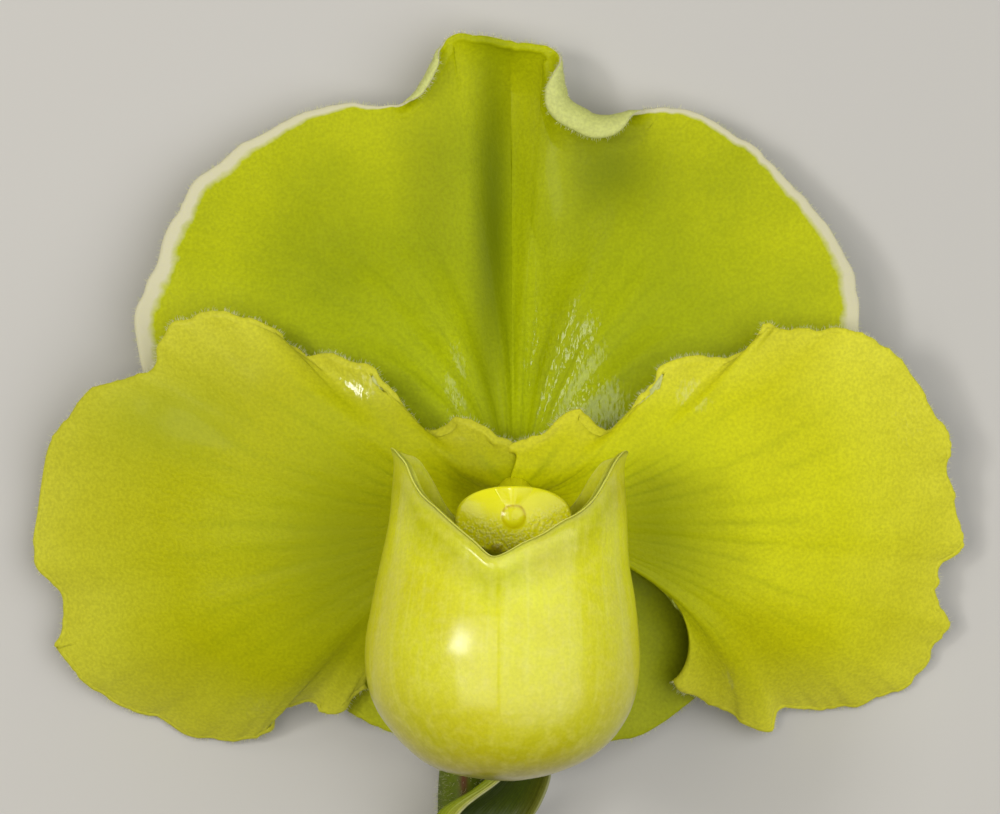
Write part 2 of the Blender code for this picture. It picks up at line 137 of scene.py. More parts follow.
def makePiece(name, vertices, faces, materials, nodes=(), uv=None, values=None, skins=None, weld=False):
    # one mesh object from arrays of corner numbers; uv and values are those of one skin, which the
    # second skin repeats, and skins the material number of each face
    mesh = bpy.data.meshes.new(name)
    mesh.from_pydata(placed(vertices).tolist(), [], np.concatenate(faces).tolist())
    count = len(mesh.vertices)
    if uv is not None:
        corners = np.empty(len(mesh.loops), np.int32)
        mesh.loops.foreach_get("vertex_index", corners)
        across, along = (np.resize(part, count)[corners] for part in uv)
        places = np.stack([across, along], axis=-1).astype(np.float32)
        mesh.uv_layers.new(name="veins").data.foreach_set("uv", places.ravel())
    for key, numbers in (values or {}).items():
        layer = mesh.attributes.new(key, "FLOAT", "POINT")
        layer.data.foreach_set("value", np.resize(numbers, count).astype(np.float32))
    for finish in materials:
        mesh.materials.append(finish)
    if skins is not None:
        mesh.polygons.foreach_set("material_index", np.asarray(skins, np.int32))
    if weld:
        bm = bmesh.new()
        bm.from_mesh(mesh)
        bmesh.ops.remove_doubles(bm, verts=bm.verts, dist=1e-6)
        bm.to_mesh(mesh)
        bm.free()
    mesh.shade_smooth()
    mesh.update()
    piece = bpy.data.objects.new(name, mesh)
    bpy.context.scene.collection.objects.link(piece)
    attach(piece, "root")
    if nodes:
        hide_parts(*nodes)
    return piece


def gridFaces(rows, columns, start=0, flip=False):
    # the quads of a rows x columns grid of vertices
    index = start + np.arange(rows * columns).reshape(rows, columns)
    quads = np.stack([index[:-1, :-1], index[:-1, 1:], index[1:, 1:], index[1:, :-1]], axis=-1).reshape(-1, 4)
    return quads[:, ::-1] if flip else quads


def shell(middle, thickness, facing, closed=False):
    # two skins half a thickness off the middle surface, joined by quads round the rim, unless the
    # grid's last column is its first, where only the two end rows are joined
    rows, columns = middle.shape[:2]
    normals = gridNormals(middle) * facing
    offset = normals * np.asarray(thickness).reshape(rows, columns, 1) / 2
    vertices = np.concatenate([(middle + offset).reshape(-1, 3), (middle - offset).reshape(-1, 3)])
    size = rows * columns
    index = np.arange(size).reshape(rows, columns)
    if closed:
        rims = [index[0], index[-1][::-1]]
    else:
        rims = [np.concatenate([index[0], index[1:, -1], index[-1, -2::-1], index[-2::-1, 0]])]
    faces = [gridFaces(rows, columns, 0, facing < 0), gridFaces(rows, columns, size, facing > 0)]
    for rim in rims:
        edge = np.stack([rim[1:], rim[:-1], rim[:-1] + size, rim[1:] + size], axis=-1)
        faces.append(edge if facing > 0 else edge[:, ::-1])
    return vertices, faces


# Materials


def hexColour(code):
    # an sRGB hex value as a linear colour
    parts = [int(code[i:i + 2], 16) / 255 for i in (1, 3, 5)]
    return (*[c / 12.92 if c <= 0.04045 else ((c + 0.055) / 1.055)**2.4 for c in parts], 1.0)


def addNode(tree, kind, inputs=None, stops=None, **settings):
    # one shader node: inputs maps a socket to a value or to another node's output, stops fill a ramp
    node = tree.nodes.new("ShaderNode" + kind)
    for name, value in settings.items():
        setattr(node, name, value)
    for name, value in (inputs or {}).items():
        if isinstance(value, bpy.types.NodeSocket):
            tree.links.new(value, node.inputs[name])
        else:
            node.inputs[name].default_value = value
    for number, (spot, colour) in enumerate(stops or ()):
        if number > 1:
            node.color_ramp.elements.new(spot)
        node.color_ramp.elements[number].position = spot
        node.color_ramp.elements[number].color = hexColour(colour)
    return node


def newMaterial(name, look):
    # gives the material, its tree of nodes and the place on the flower that its patterns follow
    made = bpy.data.materials.new(name)
    made.use_nodes = True
    shader = made.node_tree.nodes["Principled BSDF"]
    shader.inputs["Roughness"].default_value = look["roughness"]
    shader.inputs["IOR"].default_value = 1.42  # the water in the cells, with the wax over it
    # low, as the domed cells scatter most of the light
    shader.inputs["Specular IOR Level"].default_value = look.get("mirror", 0.3)
    shader.inputs["Coat Weight"].default_value = look.get("coat", 0.0)
    shader.inputs["Coat Roughness"].default_value = look.get("coatRoughness", 0.2)
    shader.inputs["Subsurface Weight"].default_value = look.get("flesh", 0.0)
    shader.inputs["Subsurface Radius"].default_value = (1.0, 1.0, 0.25)
    shader.inputs["Subsurface Scale"].default_value = 0.8 * mm
    return made, made.node_tree, addNode(made.node_tree, "TexCoord").outputs["Object"]


def finished(made, skin, relief=None, film=None, filmRelief=None):
    # the last colour, relief and film over it go to the shader
    sockets = {"Base Color": skin, "Normal": relief, "Coat Weight": film, "Coat Normal": filmRelief}
    shader = made.node_tree.nodes["Principled BSDF"]
    for socket, output in sockets.items():
        if output is not None:
            made.node_tree.links.new(output, shader.inputs[socket])
    return made


def noise(tree, place, size, detail=2.0, roughness=0.5):
    # smooth noise from 0 to 1 with lumps of this size
    inputs = {"Vector": place, "Scale": 1 / size, "Detail": detail, "Roughness": roughness}
    return addNode(tree, "TexNoise", inputs).outputs[0]


def drawnOut(tree, place, scale):
    # the place, scaled each way, so that the noise on it is drawn out
    return addNode(tree, "Mapping", {"Vector": place, "Scale": scale}).outputs[0]


def ramp(tree, place, stops):
    return addNode(tree, "ValToRGB", {0: place}, stops=stops).outputs["Color"]


def attribute(tree, name):
    return addNode(tree, "Attribute", attribute_name=name).outputs["Fac"]


def reckon(tree, operation, *numbers):
    return addNode(tree, "Math", dict(enumerate(numbers)), operation=operation).outputs[0]


def between(tree, value, edges, start=0.0, end=1.0):
    # from start to end while the value goes from the low edge to the high one
    low, high = edges
    return addNode(tree, "MapRange", {0: value, 1: low, 2: high, 3: start, 4: end}).outputs[0]


def tinted(tree, skin, amount, colour):
    # the skin with this much of a colour over it
    return addNode(tree, "Mix", {0: amount, 6: skin, 7: hexColour(colour)}, data_type="RGBA").outputs[2]


def grained(tree, skin, cells, share):
    # each cell a little darker or lighter than the next
    grain = between(tree, cells, (0.3, 0.7), 1 - share, 1 + share)
    inputs = {0: 1.0, 6: skin, 7: grain}
    return addNode(tree, "Mix", inputs, data_type="RGBA", blend_type="MULTIPLY").outputs[2]


def relieved(tree, height, high, under=None):
    # relief of this many millimetres, over another relief if there is one
    inputs = {"Strength": 1.0, "Distance": high * mm, "Height": height}
    if under is not None:
        inputs["Normal"] = under
    return addNode(tree, "Bump", inputs).outputs[0]


# what all waxy skins share; edges are the two values of a noise or wave between which a mark sets in
waxy = {
    "patchEdges": (0.35, 0.68), "mottleEdges": (0.45, 0.7), "streakEdges": (0.5, 0.72),
    "veinEdges": (0.02, 0.26), "veinBend": 0.9, "breaks": (0.7, 5.0), "breakEdges": (0.38, 0.62),
    # cells are about 0.3 mm across on the flower, drawn a little coarser so that they show
    "cellAcross": 0.42, "raggedMm": 2.2, "ragged": 0.9, "bandEdges": (1.18, 1.72),
    "strands": (2.6, 0.8, 1.0), "strandMm": 0.9, "filmEdges": (0.25, 0.39),
    "folds": (2.4, 1.0, 1.0), "foldMm": 1.1,
}


def waxyTepal(name, look):
    # Waxy tepal: one layer of domed, water-filled cells under a thin wax, over flesh that lets light
    # in. The domes give a fine glitter, the veins show as darker green lines that fan from the claw.
    made, tree, place = newMaterial(name, look)
    fan = addNode(tree, "UVMap", uv_map="veins").outputs["UV"]
    split = addNode(tree, "SeparateXYZ", {0: fan})
    across, along = split.outputs[0], split.outputs[1]
    patches = noise(tree, place, look["patchMm"] * mm, 3.0)
    patchy = between(tree, patches, waxy["patchEdges"], 0.0, look["patchShare"])
    skin = tinted(tree, ramp(tree, along, look["skin"]), patchy, look["patch"])
    if "mottle" in look:
        blotches = noise(tree, place, look["mottleMm"] * mm, 4.0)
        amount = between(tree, blotches, waxy["mottleEdges"], 0.0, look["mottleShare"])
        skin = tinted(tree, skin, amount, look["mottle"])
    if "streakLong" in look:
        # streaks: noise drawn out along the veins
        streaks = noise(tree, drawnOut(tree, fan, (look["veins"], look["streakLong"], 1.0)), 1.0, 3.0)
        line = between(tree, streaks, waxy["streakEdges"])
    else:
        # veins: a triangle wave of the place across the fan, bent a little
        bent = reckon(tree, "MULTIPLY", patches, waxy["veinBend"])
        phase = reckon(tree, "MULTIPLY_ADD", across, look["veins"], bent)
        line = between(tree, reckon(tree, "PINGPONG", phase, 0.5), waxy["veinEdges"], 1.0, 0.0)
    # they fade towards the margin and break off here and there
    drawn = reckon(tree, "MULTIPLY", line, ramp(tree, along, look["veinFade"]))
    often, long = waxy["breaks"]
    broken = noise(tree, drawnOut(tree, fan, (look["veins"] * often, long, 1.0)), 1.0)
    drawn = reckon(tree, "MULTIPLY", drawn, between(tree, broken, waxy["breakEdges"]))
    skin = tinted(tree, skin, drawn, look["vein"])
    cells = noise(tree, place, waxy["cellAcross"] * mm, 1.0)
    skin = grained(tree, skin, cells, look["grain"])
    # darker where the deep spots lie: painted shade, with some deeper green along the dorsal's valley
    if "deep" in look:
        skin = tinted(tree, skin, attribute(tree, "deep"), look["deep"])
    if "band" in look:
        ragged = noise(tree, place, waxy["raggedMm"] * mm, 3.0)
        torn = reckon(tree, "MULTIPLY_ADD", ragged, waxy["ragged"], attribute(tree, "band"))
        skin = tinted(tree, skin, between(tree, torn, waxy["bandEdges"], 1.0, 0.0), look["band"])
    # relief: the cells, and puckers stretched along the veins
    puckers = noise(tree, drawnOut(tree, fan, look["puckers"]), 1.0, 3.0, 0.6)
    puckered = relieved(tree, reckon(tree, "MULTIPLY", puckers, along), look["puckerMm"])
    relief = relieved(tree, cells, look["cellMm"], puckered)
    if "crinkleMm" in look:
        # where it is wet the skin is crinkled, and broken strands of a clear film mirror the lamps
        wet = attribute(tree, "wet")
        film = noise(tree, drawnOut(tree, place, waxy["strands"]), waxy["strandMm"] * mm)
        film = reckon(tree, "MULTIPLY", film, wet)
        film = between(tree, film, waxy["filmEdges"], look["coat"], 1.0)
        folds = noise(tree, drawnOut(tree, place, waxy["folds"]), waxy["foldMm"] * mm, 0.6)
        height = reckon(tree, "MULTIPLY", folds, wet)
        mirrored = relieved(tree, height, look["crinkleMm"])
        relief = relieved(tree, height, look["crinkleMm"], relief)
        return finished(made, skin, relief, film, mirrored)
    return finished(made, skin, relief)


def fleshyPlain(name, look):
    # Plain green or yellow plant flesh: colour that drifts from place to place, with a fine grain
    made, tree, place = newMaterial(name, look)
    skin = ramp(tree, noise(tree, place, look["patchMm"] * mm, 3.0), look["drift"])
    cells = noise(tree, place, look["grainMm"] * mm, 1.0)
    skin = grained(tree, skin, cells, look["grain"])
    if "rust" in look:
        skin = tinted(tree, skin, attribute(tree, "rust"), look["rust"])
    return finished(made, skin, relieved(tree, cells, look["reliefMm"]))


# Tepals

# Each tepal has the ends of its claw, the direction of its midrib, how far its veins lean at its two
# side edges, and its outline as seen from in front by stations: x, y, height of the margin, height of
# the blade just inside. A roll is where the margin turns over: x, y, half its length, how far it
# turns, forwards if positive, and the strip that turns. A bump is x, y, two half widths, height. A
# bulge is how far the two bends of the inner side edge are carried.
plainTepal = {"arch": 0.0, "sideLean": (0.0, 0.0), "bulge": ((0, 0), (0, 0)), "rolls": (), "bumps": (),
              "fall": 1.7, "pleatMm": 0.0, "crowdTip": 0.0}

dorsal = plainTepal | {
    "claw": ((-2.6, -9.3, 14.2), (6.2, -9.3, 14.2)), "midrib": (0.0, 1.0),
    "margin": (
        (-43.2, -1.2, 8.6, 9.9), (-45.4, 2.4, 8.6, 9.6), (-46.9, 7.9, 8.5, 9.2), (-47.3, 11.9, 8.4, 8.8),
        (-46.2, 15.4, 8.1, 8.5), (-44.5, 18.8, 7.8, 8.1), (-43.4, 22.5, 7.4, 7.7), (-41.6, 25.9, 7.1, 7.2),
        (-39.6, 29.4, 6.8, 6.8), (-36.4, 31.7, 6.6, 6.5), (-33.5, 34.3, 6.3, 6.1), (-30.2, 36.1, 6.1, 5.8),
        (-26.7, 37.9, 5.9, 5.5), (-23.1, 39.1, 5.7, 5.1), (-19.2, 39.6, 5.6, 4.9), (-15.2, 39.4, 5.4, 4.6),
        (-11.7, 40.0, 5.2, 4.2), (-9.9, 42.2, 5.2, 3.9), (-8.8, 44.4, 5.4, 3.5), (-7.8, 46.8, 5.6, 3.0),
        (-6.9, 48.1, 5.8, 2.6), (-5.4, 48.6, 6.0, 2.2), (-3.5, 48.4, 5.9, 1.8), (-1.3, 48.4, 5.6, 1.4),
        (0.8, 47.9, 5.3, 0.8), (2.6, 47.6, 5.2, 0.7), (5.5, 47.2, 5.6, 1.2), (7.6, 45.9, 5.8, 1.7),
        (8.1, 42.6, 5.8, 2.2), (8.9, 39.9, 5.8, 2.6), (11.3, 38.1, 5.6, 3.1), (14.0, 37.6, 5.4, 3.6),
        (17.2, 38.2, 5.2, 4.0), (20.2, 39.1, 5.2, 4.4), (24.1, 38.7, 5.4, 4.9), (27.7, 37.3, 5.6, 5.3),
        (30.8, 35.4, 5.8, 5.6), (33.9, 33.2, 6.0, 6.0), (36.6, 30.4, 6.3, 6.3), (39.1, 27.7, 6.6, 6.6),
        (41.6, 24.9, 6.9, 7.0), (43.8, 21.9, 7.2, 7.3), (45.5, 18.5, 7.5, 7.7), (46.4, 14.9, 7.8, 8.2),
        (46.5, 10.9, 8.1, 8.6), (46.0, 6.0, 8.5, 9.2), (43.0, 1.0, 8.6, 9.8)),
    "rolls": ((-9.6, 42.6, 4.6, 150, 3.6), (11.2, 38.8, 7.0, 190, 7.2)),
    "seed": 3, "wear": 0.3, "ruffle": 0.3, "fall": 1.5, "easeMm": 4.0, "marginMm": 175,
    "veins": 26, "ribMm": 0.03, "pleatMm": 0.16, "grid": (140, 330), "crowdTip": 0.5,
    # the white band's width along the margin
    "bandAt": (0, 0.1, 0.22, 0.34, 0.4, 0.6, 0.68, 0.8, 0.9, 1),
    "bandMm": (2.0, 2.2, 1.9, 0.8, 0.05, 0.05, 0.6, 1.1, 1.9, 2.3),
    # spots are x, y, two half widths and how strong: where it is wet, and where the colour is darker: painted
    # shade under the two rolls and over the left half, which gets less light, with some deeper green left of
    # the valley's line
    "wet": ((8.6, 5.0, 6.5, 10.5, 1.0), (12.0, 0.5, 6.0, 5.0, 0.9), (-5.8, 3.0, 2.0, 6.5, 0.9)),
    "deep": ((-1.2, 24.0, 2.6, 24.0, 0.9), (14.5, 31.0, 7.0, 6.5, 0.7), (-9.0, 30.0, 5.0, 12.0, 0.4),
             (-21.0, 21.0, 12.0, 12.0, 0.25)),
    "valley": {"x": 1.5, "halfWidth": 6.0, "depth": 5.4, "lowest": 0.75, "sharp": 1.1},
}

petalLeft = plainTepal | {
    "claw": ((-1.0, -15.6, 17.2), (4.2, -10.4, 19.0)), "midrib": (-0.97, -0.24), "arch": 2.0,
    "sideLean": (0.65, 0.0),
    "margin": (
        (-17.0, -36.8, 8.8, 12.6), (-18.6, -37.6, 8.0, 12.5), (-19.9, -39.2, 7.2, 12.3),
        (-21.1, -39.8, 6.6, 12.2), (-23.7, -39.7, 5.8, 11.9), (-24.1, -38.8, 5.4, 11.8),
        (-27.7, -39.3, 4.4, 11.5), (-29.3, -40.6, 3.6, 11.2), (-29.5, -41.9, 2.9, 11.1),
        (-30.8, -42.9, 2.2, 10.9), (-33.0, -43.7, 1.4, 10.7), (-36.5, -43.6, 0.9, 10.6),
        (-41.1, -42.9, 0.8, 10.6), (-44.1, -41.0, 1.0, 10.6), (-48.4, -39.7, 1.5, 10.8),
        (-51.5, -38.1, 2.1, 10.9), (-54.8, -35.6, 2.8, 11.1), (-56.3, -33.4, 3.3, 11.2),
        (-58.3, -31.3, 3.6, 11.4), (-57.5, -29.5, 4.2, 11.5), (-57.2, -27.3, 4.6, 11.6),
        (-57.5, -24.2, 4.6, 11.6), (-58.3, -23.0, 4.4, 11.6), (-60.1, -21.3, 4.0, 11.6),
        (-60.1, -12.7, 4.6, 12.1), (-59.6, -9.4, 5.0, 12.4), (-58.8, -5.6, 5.8, 12.9),
        (-57.5, -2.5, 6.8, 13.2), (-55.1, 0.1, 7.9, 13.6), (-52.2, 2.9, 9.2, 14.0),
        (-48.2, 4.0, 10.8, 14.5), (-46.7, 4.3, 11.6, 14.7), (-45.1, 4.7, 12.4, 14.9),
        (-44.2, 5.9, 13.2, 15.0), (-44.1, 7.8, 13.8, 15.1), (-43.4, 9.2, 14.2, 15.2),
        (-41.9, 11.1, 14.8, 15.4), (-39.6, 11.9, 15.4, 15.7), (-35.7, 12.4, 16.4, 16.4),
        (-31.9, 11.5, 16.2, 16.8), (-29.5, 10.4, 15.6, 16.9), (-28.0, 9.9, 15.3, 17.0),
        (-27.2, 8.6, 15.1, 17.0), (-25.9, 7.6, 15.3, 17.1), (-24.8, 6.8, 15.7, 17.3),
        (-23.2, 7.1, 16.4, 17.6), (-21.8, 7.1, 17.0, 18.0), (-20.2, 6.4, 17.6, 18.4),
        (-18.1, 5.9, 18.3, 19.0), (-16.1, 5.1, 18.8, 19.5), (-14.8, 3.7, 18.9, 19.6),
        (-13.4, 2.0, 18.8, 19.6), (-11.9, 0.5, 18.7, 19.7), (-11.0, -1.1, 18.7, 19.7),
        (-10.0, -2.4, 18.6, 19.8), (-8.3, -2.8, 18.7, 19.9), (-6.8, -2.3, 19.2, 20.1),
        (-5.6, -1.1, 19.9, 20.3), (-4.8, -1.0, 20.1, 20.5), (-1.7, -2.4, 20.6, 20.8),
        (0.3, -3.6, 20.8, 21.0), (1.4, -4.3, 20.6, 20.7), (2.6, -5.4, 20.0, 20.1), (3.9, -6.6, 19.6, 19.7)),
    "rolls": ((-9.0, -2.0, 3.2, -50, 1.8),),
    "bumps": ((-1.0, -8.1, 2.2, 2.2, 0.6),), "seed": 7, "wear": 0.5, "ruffle": 0.8, "easeMm": 4.5,
    "marginMm": 175, "veins": 22, "ribMm": 0.04, "grid": (115, 310),
    "wet": ((-18.0, 3.0, 3.5, 3.0, 0.8), (-32.0, -38.0, 5.0, 3.5, 0.6)),
    # deep spots: painted shade beside the pouch and under the ear's fold
    "deep": ((-21.0, -18.0, 9.0, 14.0, 0.75), (-43.0, -1.0, 10.0, 6.0, 0.6)),
}

petalRight = plainTepal | {
    "claw": ((4.8, -15.6, 17.2), (0.8, -10.4, 20.0)), "midrib": (0.97, -0.24), "arch": 2.0,
    "sideLean": (0.65, 0.0),
    "bulge": ((7.3, 1.0), (6.6, 2.5)),  # it goes round the pouch
    "margin": (
        (22.0, -35.5, 9.8, 12.4), (22.8, -36.4, 9.2, 12.4), (25.2, -37.6, 7.8, 12.3),
        (26.9, -38.8, 6.6, 12.1), (29.1, -39.9, 5.2, 11.8), (31.1, -41.0, 4.2, 11.5),
        (33.3, -42.0, 3.3, 11.2), (34.6, -42.5, 2.8, 11.1), (35.6, -42.3, 2.6, 11.0),
        (35.9, -41.0, 2.8, 11.0), (36.4, -39.9, 2.9, 10.9), (41.4, -39.9, 1.2, 10.7),
        (45.9, -39.5, 0.9, 10.7), (49.8, -38.1, 0.8, 10.6), (53.2, -36.7, 1.0, 10.7),
        (55.5, -34.2, 1.7, 10.9), (57.4, -30.7, 2.7, 11.2), (58.8, -28.2, 3.4, 11.4),
        (57.4, -25.8, 4.3, 11.6), (56.8, -23.8, 4.7, 11.6), (57.3, -22.8, 4.7, 11.6),
        (57.0, -21.7, 4.7, 11.6), (58.1, -20.6, 4.4, 11.6), (60.6, -18.3, 3.8, 11.8),
        (59.7, -14.3, 4.3, 12.1), (59.1, -10.5, 5.0, 12.4), (58.5, -7.8, 5.4, 12.6),
        (58.8, -6.2, 5.6, 12.7), (58.8, -4.4, 5.8, 12.8), (57.4, -1.7, 6.4, 13.1), (55.9, 0.5, 7.2, 13.4),
        (54.0, 3.6, 8.2, 13.8), (52.3, 5.9, 9.2, 14.1), (50.5, 7.4, 10.0, 14.4), (48.3, 9.0, 11.0, 14.7),
        (46.5, 10.0, 11.8, 14.9), (41.9, 10.2, 13.2, 15.3), (38.1, 10.2, 14.0, 15.7),
        (35.8, 10.6, 14.9, 16.1), (34.9, 11.2, 15.5, 16.3), (33.5, 11.0, 15.8, 16.4),
        (32.9, 9.7, 15.6, 16.5), (32.3, 7.9, 15.2, 16.6), (31.2, 7.2, 15.0, 16.6), (28.8, 6.6, 15.3, 17.0),
        (26.2, 6.7, 16.2, 17.5), (22.7, 6.2, 17.4, 18.2), (20.2, 5.0, 18.2, 18.7), (19.2, 3.1, 18.4, 19.0),
        (17.9, 1.8, 18.6, 19.2), (16.3, -0.5, 18.7, 19.5), (14.7, -2.2, 18.7, 19.6),
        (13.3, -2.7, 18.7, 19.7), (12.3, -2.3, 18.9, 19.8), (11.1, -1.0, 19.4, 20.1),
        (10.1, -0.1, 19.8, 20.3), (8.8, -0.5, 20.1, 20.5), (7.6, -1.3, 20.3, 20.6), (5.0, -3.6, 20.7, 20.9),
        (3.3, -3.6, 20.8, 21.0), (1.7, -4.4, 20.9, 21.1), (0.8, -5.3, 20.9, 21.0)),
    "rolls": ((13.6, -1.9, 3.2, -50, 1.8),),
    "bumps": ((3.9, -8.3, 2.2, 2.2, 0.6),), "seed": 9, "wear": 0.5, "ruffle": 0.8, "easeMm": 4.5,
    "marginMm": 180, "veins": 22, "ribMm": 0.04, "grid": (115, 310),
    "wet": ((24.5, 1.5, 3.5, 3.0, 0.8), (53.0, -2.0, 6.0, 8.0, 0.5), (30.0, -35.0, 4.5, 4.5, 0.6)),
    # deep spot: painted shade beside the pouch
    "deep": ((20.5, -16.0, 8.0, 12.0, 0.75),),
}

synsepal = plainTepal | {
    "claw": ((5.8, -11.8, 14.0), (-2.4, -11.8, 14.0)), "midrib": (0.0, -1.0),
    "margin": (
        (26.3, -25.6, 5.4, 8.2), (27.7, -32.8, 4.4, 7.0), (25.5, -37.8, 4.4, 7.0), (23.6, -39.4, 4.6, 7.2),
        (20.9, -41.2, 5.2, 7.7), (18.6, -42.5, 5.9, 8.3), (14.5, -43.5, 7.0, 9.0), (7.8, -44.7, 9.0, 10.2),
        (0.0, -45.2, 9.2, 10.4), (-7.8, -44.2, 8.2, 10.0), (-13.9, -42.5, 6.0, 8.6),
        (-18.2, -40.7, 5.0, 7.7), (-20.8, -38.6, 4.6, 7.2), (-22.9, -34.3, 4.6, 7.2),
        (-21.4, -27.6, 5.6, 8.2)),
    "seed": 13, "wear": 0.25, "ruffle": 0.3, "easeMm": 4.0, "marginMm": 85,
    "veins": 16, "ribMm": 0.03, "pleatMm": 0.1, "grid": (60, 120),
}

# What all blades share. Lean: how far the veins head for the midrib's way, by stops across the blade.
# Bends and carry: where a vein's two bends lie. Hem: the strip along a margin, flat, and its share of
# the rows. Fade: how far from the claw and from the margin the relief comes up to its full height.
blade = {
    "leanStops": (0, 0.12, 0.9, 1), "lean": 0.65,
    "bendIn": 0.42, "bendOut": 0.72, "carry": 0.05, "bulgeShare": 0.4,
    "hemMm": 0.8, "hemRows": 0.22, "stepMm": 0.7, "wornMm": (2.6, 0.9), "ruffleMm": 8.5,
    "thick": 0.74, "rimMm": 0.7, "sideRim": 1 / 400,
    "swells": ((0.12, 8.0), (0.04, 3.0)), "fadeMm": (8, 1.5), "pleats": 9, "pleatsAt": 17, "pleatsReach": 12,
}


def eased(values, reach):
    # each row becomes the mean of its neighbours, weighted by exp(-(d / reach)^2 / 2)
    spread = np.arange(-3 * reach, 3 * reach + 1)
    weights = np.exp(-0.5 * (spread / reach)**2)
    padded = np.pad(values, ((3 * reach, 3 * reach), (0, 0)), "edge")
    return np.stack([np.convolve(row, weights / weights.sum(), "valid") for row in padded.T], axis=1)


def bladePoints(tepal, edge, sides):
    # A grid: rows go from the claw (edge 0) to the margin (edge 1), columns across the veins (sides).
    # A vein is a cubic Bezier from the claw to the foot of the hem, which leaves the claw towards the
    # midrib. Close in it heads for the eased outline, and joins the real one by s^7.
    # Height: claw + (inner - claw)(1 - (1 - s)^fall) + (margin - inner) s^3.4 + arch sin(pi s)^2.
    # The hem goes on square to the outline, round an arc: out = r (sin t - sin t0), up = r (cos t0 - cos t).
    margin = through(tepal["margin"], sides)
    step = blade["stepMm"] / tepal["marginMm"]
    ahead = through(tepal["margin"], np.clip(sides + step, 0, 1))[:, :2]
    tangent = unit(ahead - through(tepal["margin"], np.clip(sides - step, 0, 1))[:, :2])
    first, last = (np.array(end) for end in tepal["claw"])
    claw = first + (last - first) * sides[:, None]
    outward = np.column_stack([tangent[:, 1], -tangent[:, 0]])
    across = margin[:, :2] - claw[:, :2]
    outward *= np.sign((outward * across).sum(axis=1).mean())
    reach = np.linalg.norm(across, axis=1)
    along = sides * tepal["marginMm"]
    coarse, fine = blade["wornMm"]
    worn = 0.7 * wobble(along, coarse, tepal["seed"]) + 0.3 * wobble(along, fine, tepal["seed"] + 5) + 0.3
    strip = np.full(len(sides), blade["hemMm"])
    angle = np.full(len(sides), 1e-3)
    for x, y, halfLength, turn, width in tepal["rolls"]:
        strength = np.exp(-(np.hypot(margin[:, 0] - x, margin[:, 1] - y) / halfLength)**4)
        strip += (width - blade["hemMm"]) * strength
        angle += np.radians(turn) * strength
    tilt = np.arctan(3.4 * (margin[:, 2] - margin[:, 3]) / reach)
    radius = strip / angle
    furthest = radius * (np.sin(np.clip(tilt + angle, -pi / 2, pi / 2)) - np.sin(tilt))
    foot = margin[:, :2] - outward * (furthest + tepal["wear"] * np.clip(worn, 0, 1))[:, None]
    heights = margin[:, 2:] + tepal["ruffle"] * wobble(along, blade["ruffleMm"], tepal["seed"] + 9)[:, None]
    reachColumns = round(tepal["easeMm"] / tepal["marginMm"] * len(sides))
    smooth = eased(np.column_stack([foot, heights]), reachColumns)
    calm = eased(heights, 3 * reachColumns)
    path = smooth[:, :2] - claw[:, :2]
    length = np.linalg.norm(path, axis=1, keepdims=True)
    leftLean, rightLean = tepal["sideLean"]
    leans = (leftLean, blade["lean"], blade["lean"], rightLean)
    lean = np.interp(sides, blade["leanStops"], leans)[:, None]
    heading = unit(lean * np.array(tepal["midrib"]) + (1 - lean) * unit(path))
    nearInner = np.clip(1 - sides / blade["bulgeShare"], 0, 1)[:, None]**1.5
    bulgeIn, bulgeOut = (np.array(bulge) * nearInner for bulge in tepal["bulge"])
    bendIn = claw[:, :2] + blade["bendIn"] * length * heading + bulgeIn
    bendOut = claw[:, :2] + blade["bendOut"] * path + blade["carry"] * length * heading + bulgeOut
    inner = 1 - blade["hemRows"]
    s = 1 - (1 - np.clip(edge / inner, 0, 1)[:, None, None])**1.4
    flat = (1 - s)**3 * claw[:, :2] + 3 * (1 - s)**2 * s * bendIn + 3 * (1 - s) * s**2 * bendOut
    flat = flat + s**3 * smooth[:, :2] + s**7 * (foot - smooth[:, :2])
    s = s[..., 0]
    inside = calm[:, 1] + (smooth[:, 3] - calm[:, 1]) * s**2
    height = claw[:, 2] + (inside - claw[:, 2]) * (1 - (1 - s)**tepal["fall"])
    height = height + (smooth[:, 2] - smooth[:, 3]) * s**3.4 + (heights[:, 0] - smooth[:, 2]) * s**6
    height = height + tepal["arch"] * np.sin(pi * s)**2 * np.clip(length[:, 0] / 40, 0, 1)
    swing = tilt + angle * np.clip(edge - inner, 0, None)[:, None] / blade["hemRows"]
    flat = flat + outward * (radius * (np.sin(swing) - np.sin(tilt)))[..., None]
    height = height + radius * (np.cos(tilt) - np.cos(swing))
    for *bump, high in tepal["bumps"]:
        height = height + high * bell(flat, *bump)
    if "valley" in tepal:
        # on its line each row drops by depth sin(pi s)^0.9, to either side by exp(-|x|^sharp)
        valley = tepal["valley"]
        away = np.abs(flat[..., 0] - valley["x"]) / valley["halfWidth"]
        room = height[np.arange(len(edge)), away.argmin(axis=1)] - valley["lowest"]
        depth = np.minimum(valley["depth"] * np.sin(pi * np.clip(edge / inner, 0, 1))**0.9, room)
        height = height - np.clip(depth, 0, None)[:, None] * np.exp(-away**valley["sharp"])
    return np.concatenate([flat, height[..., None]], axis=-1)


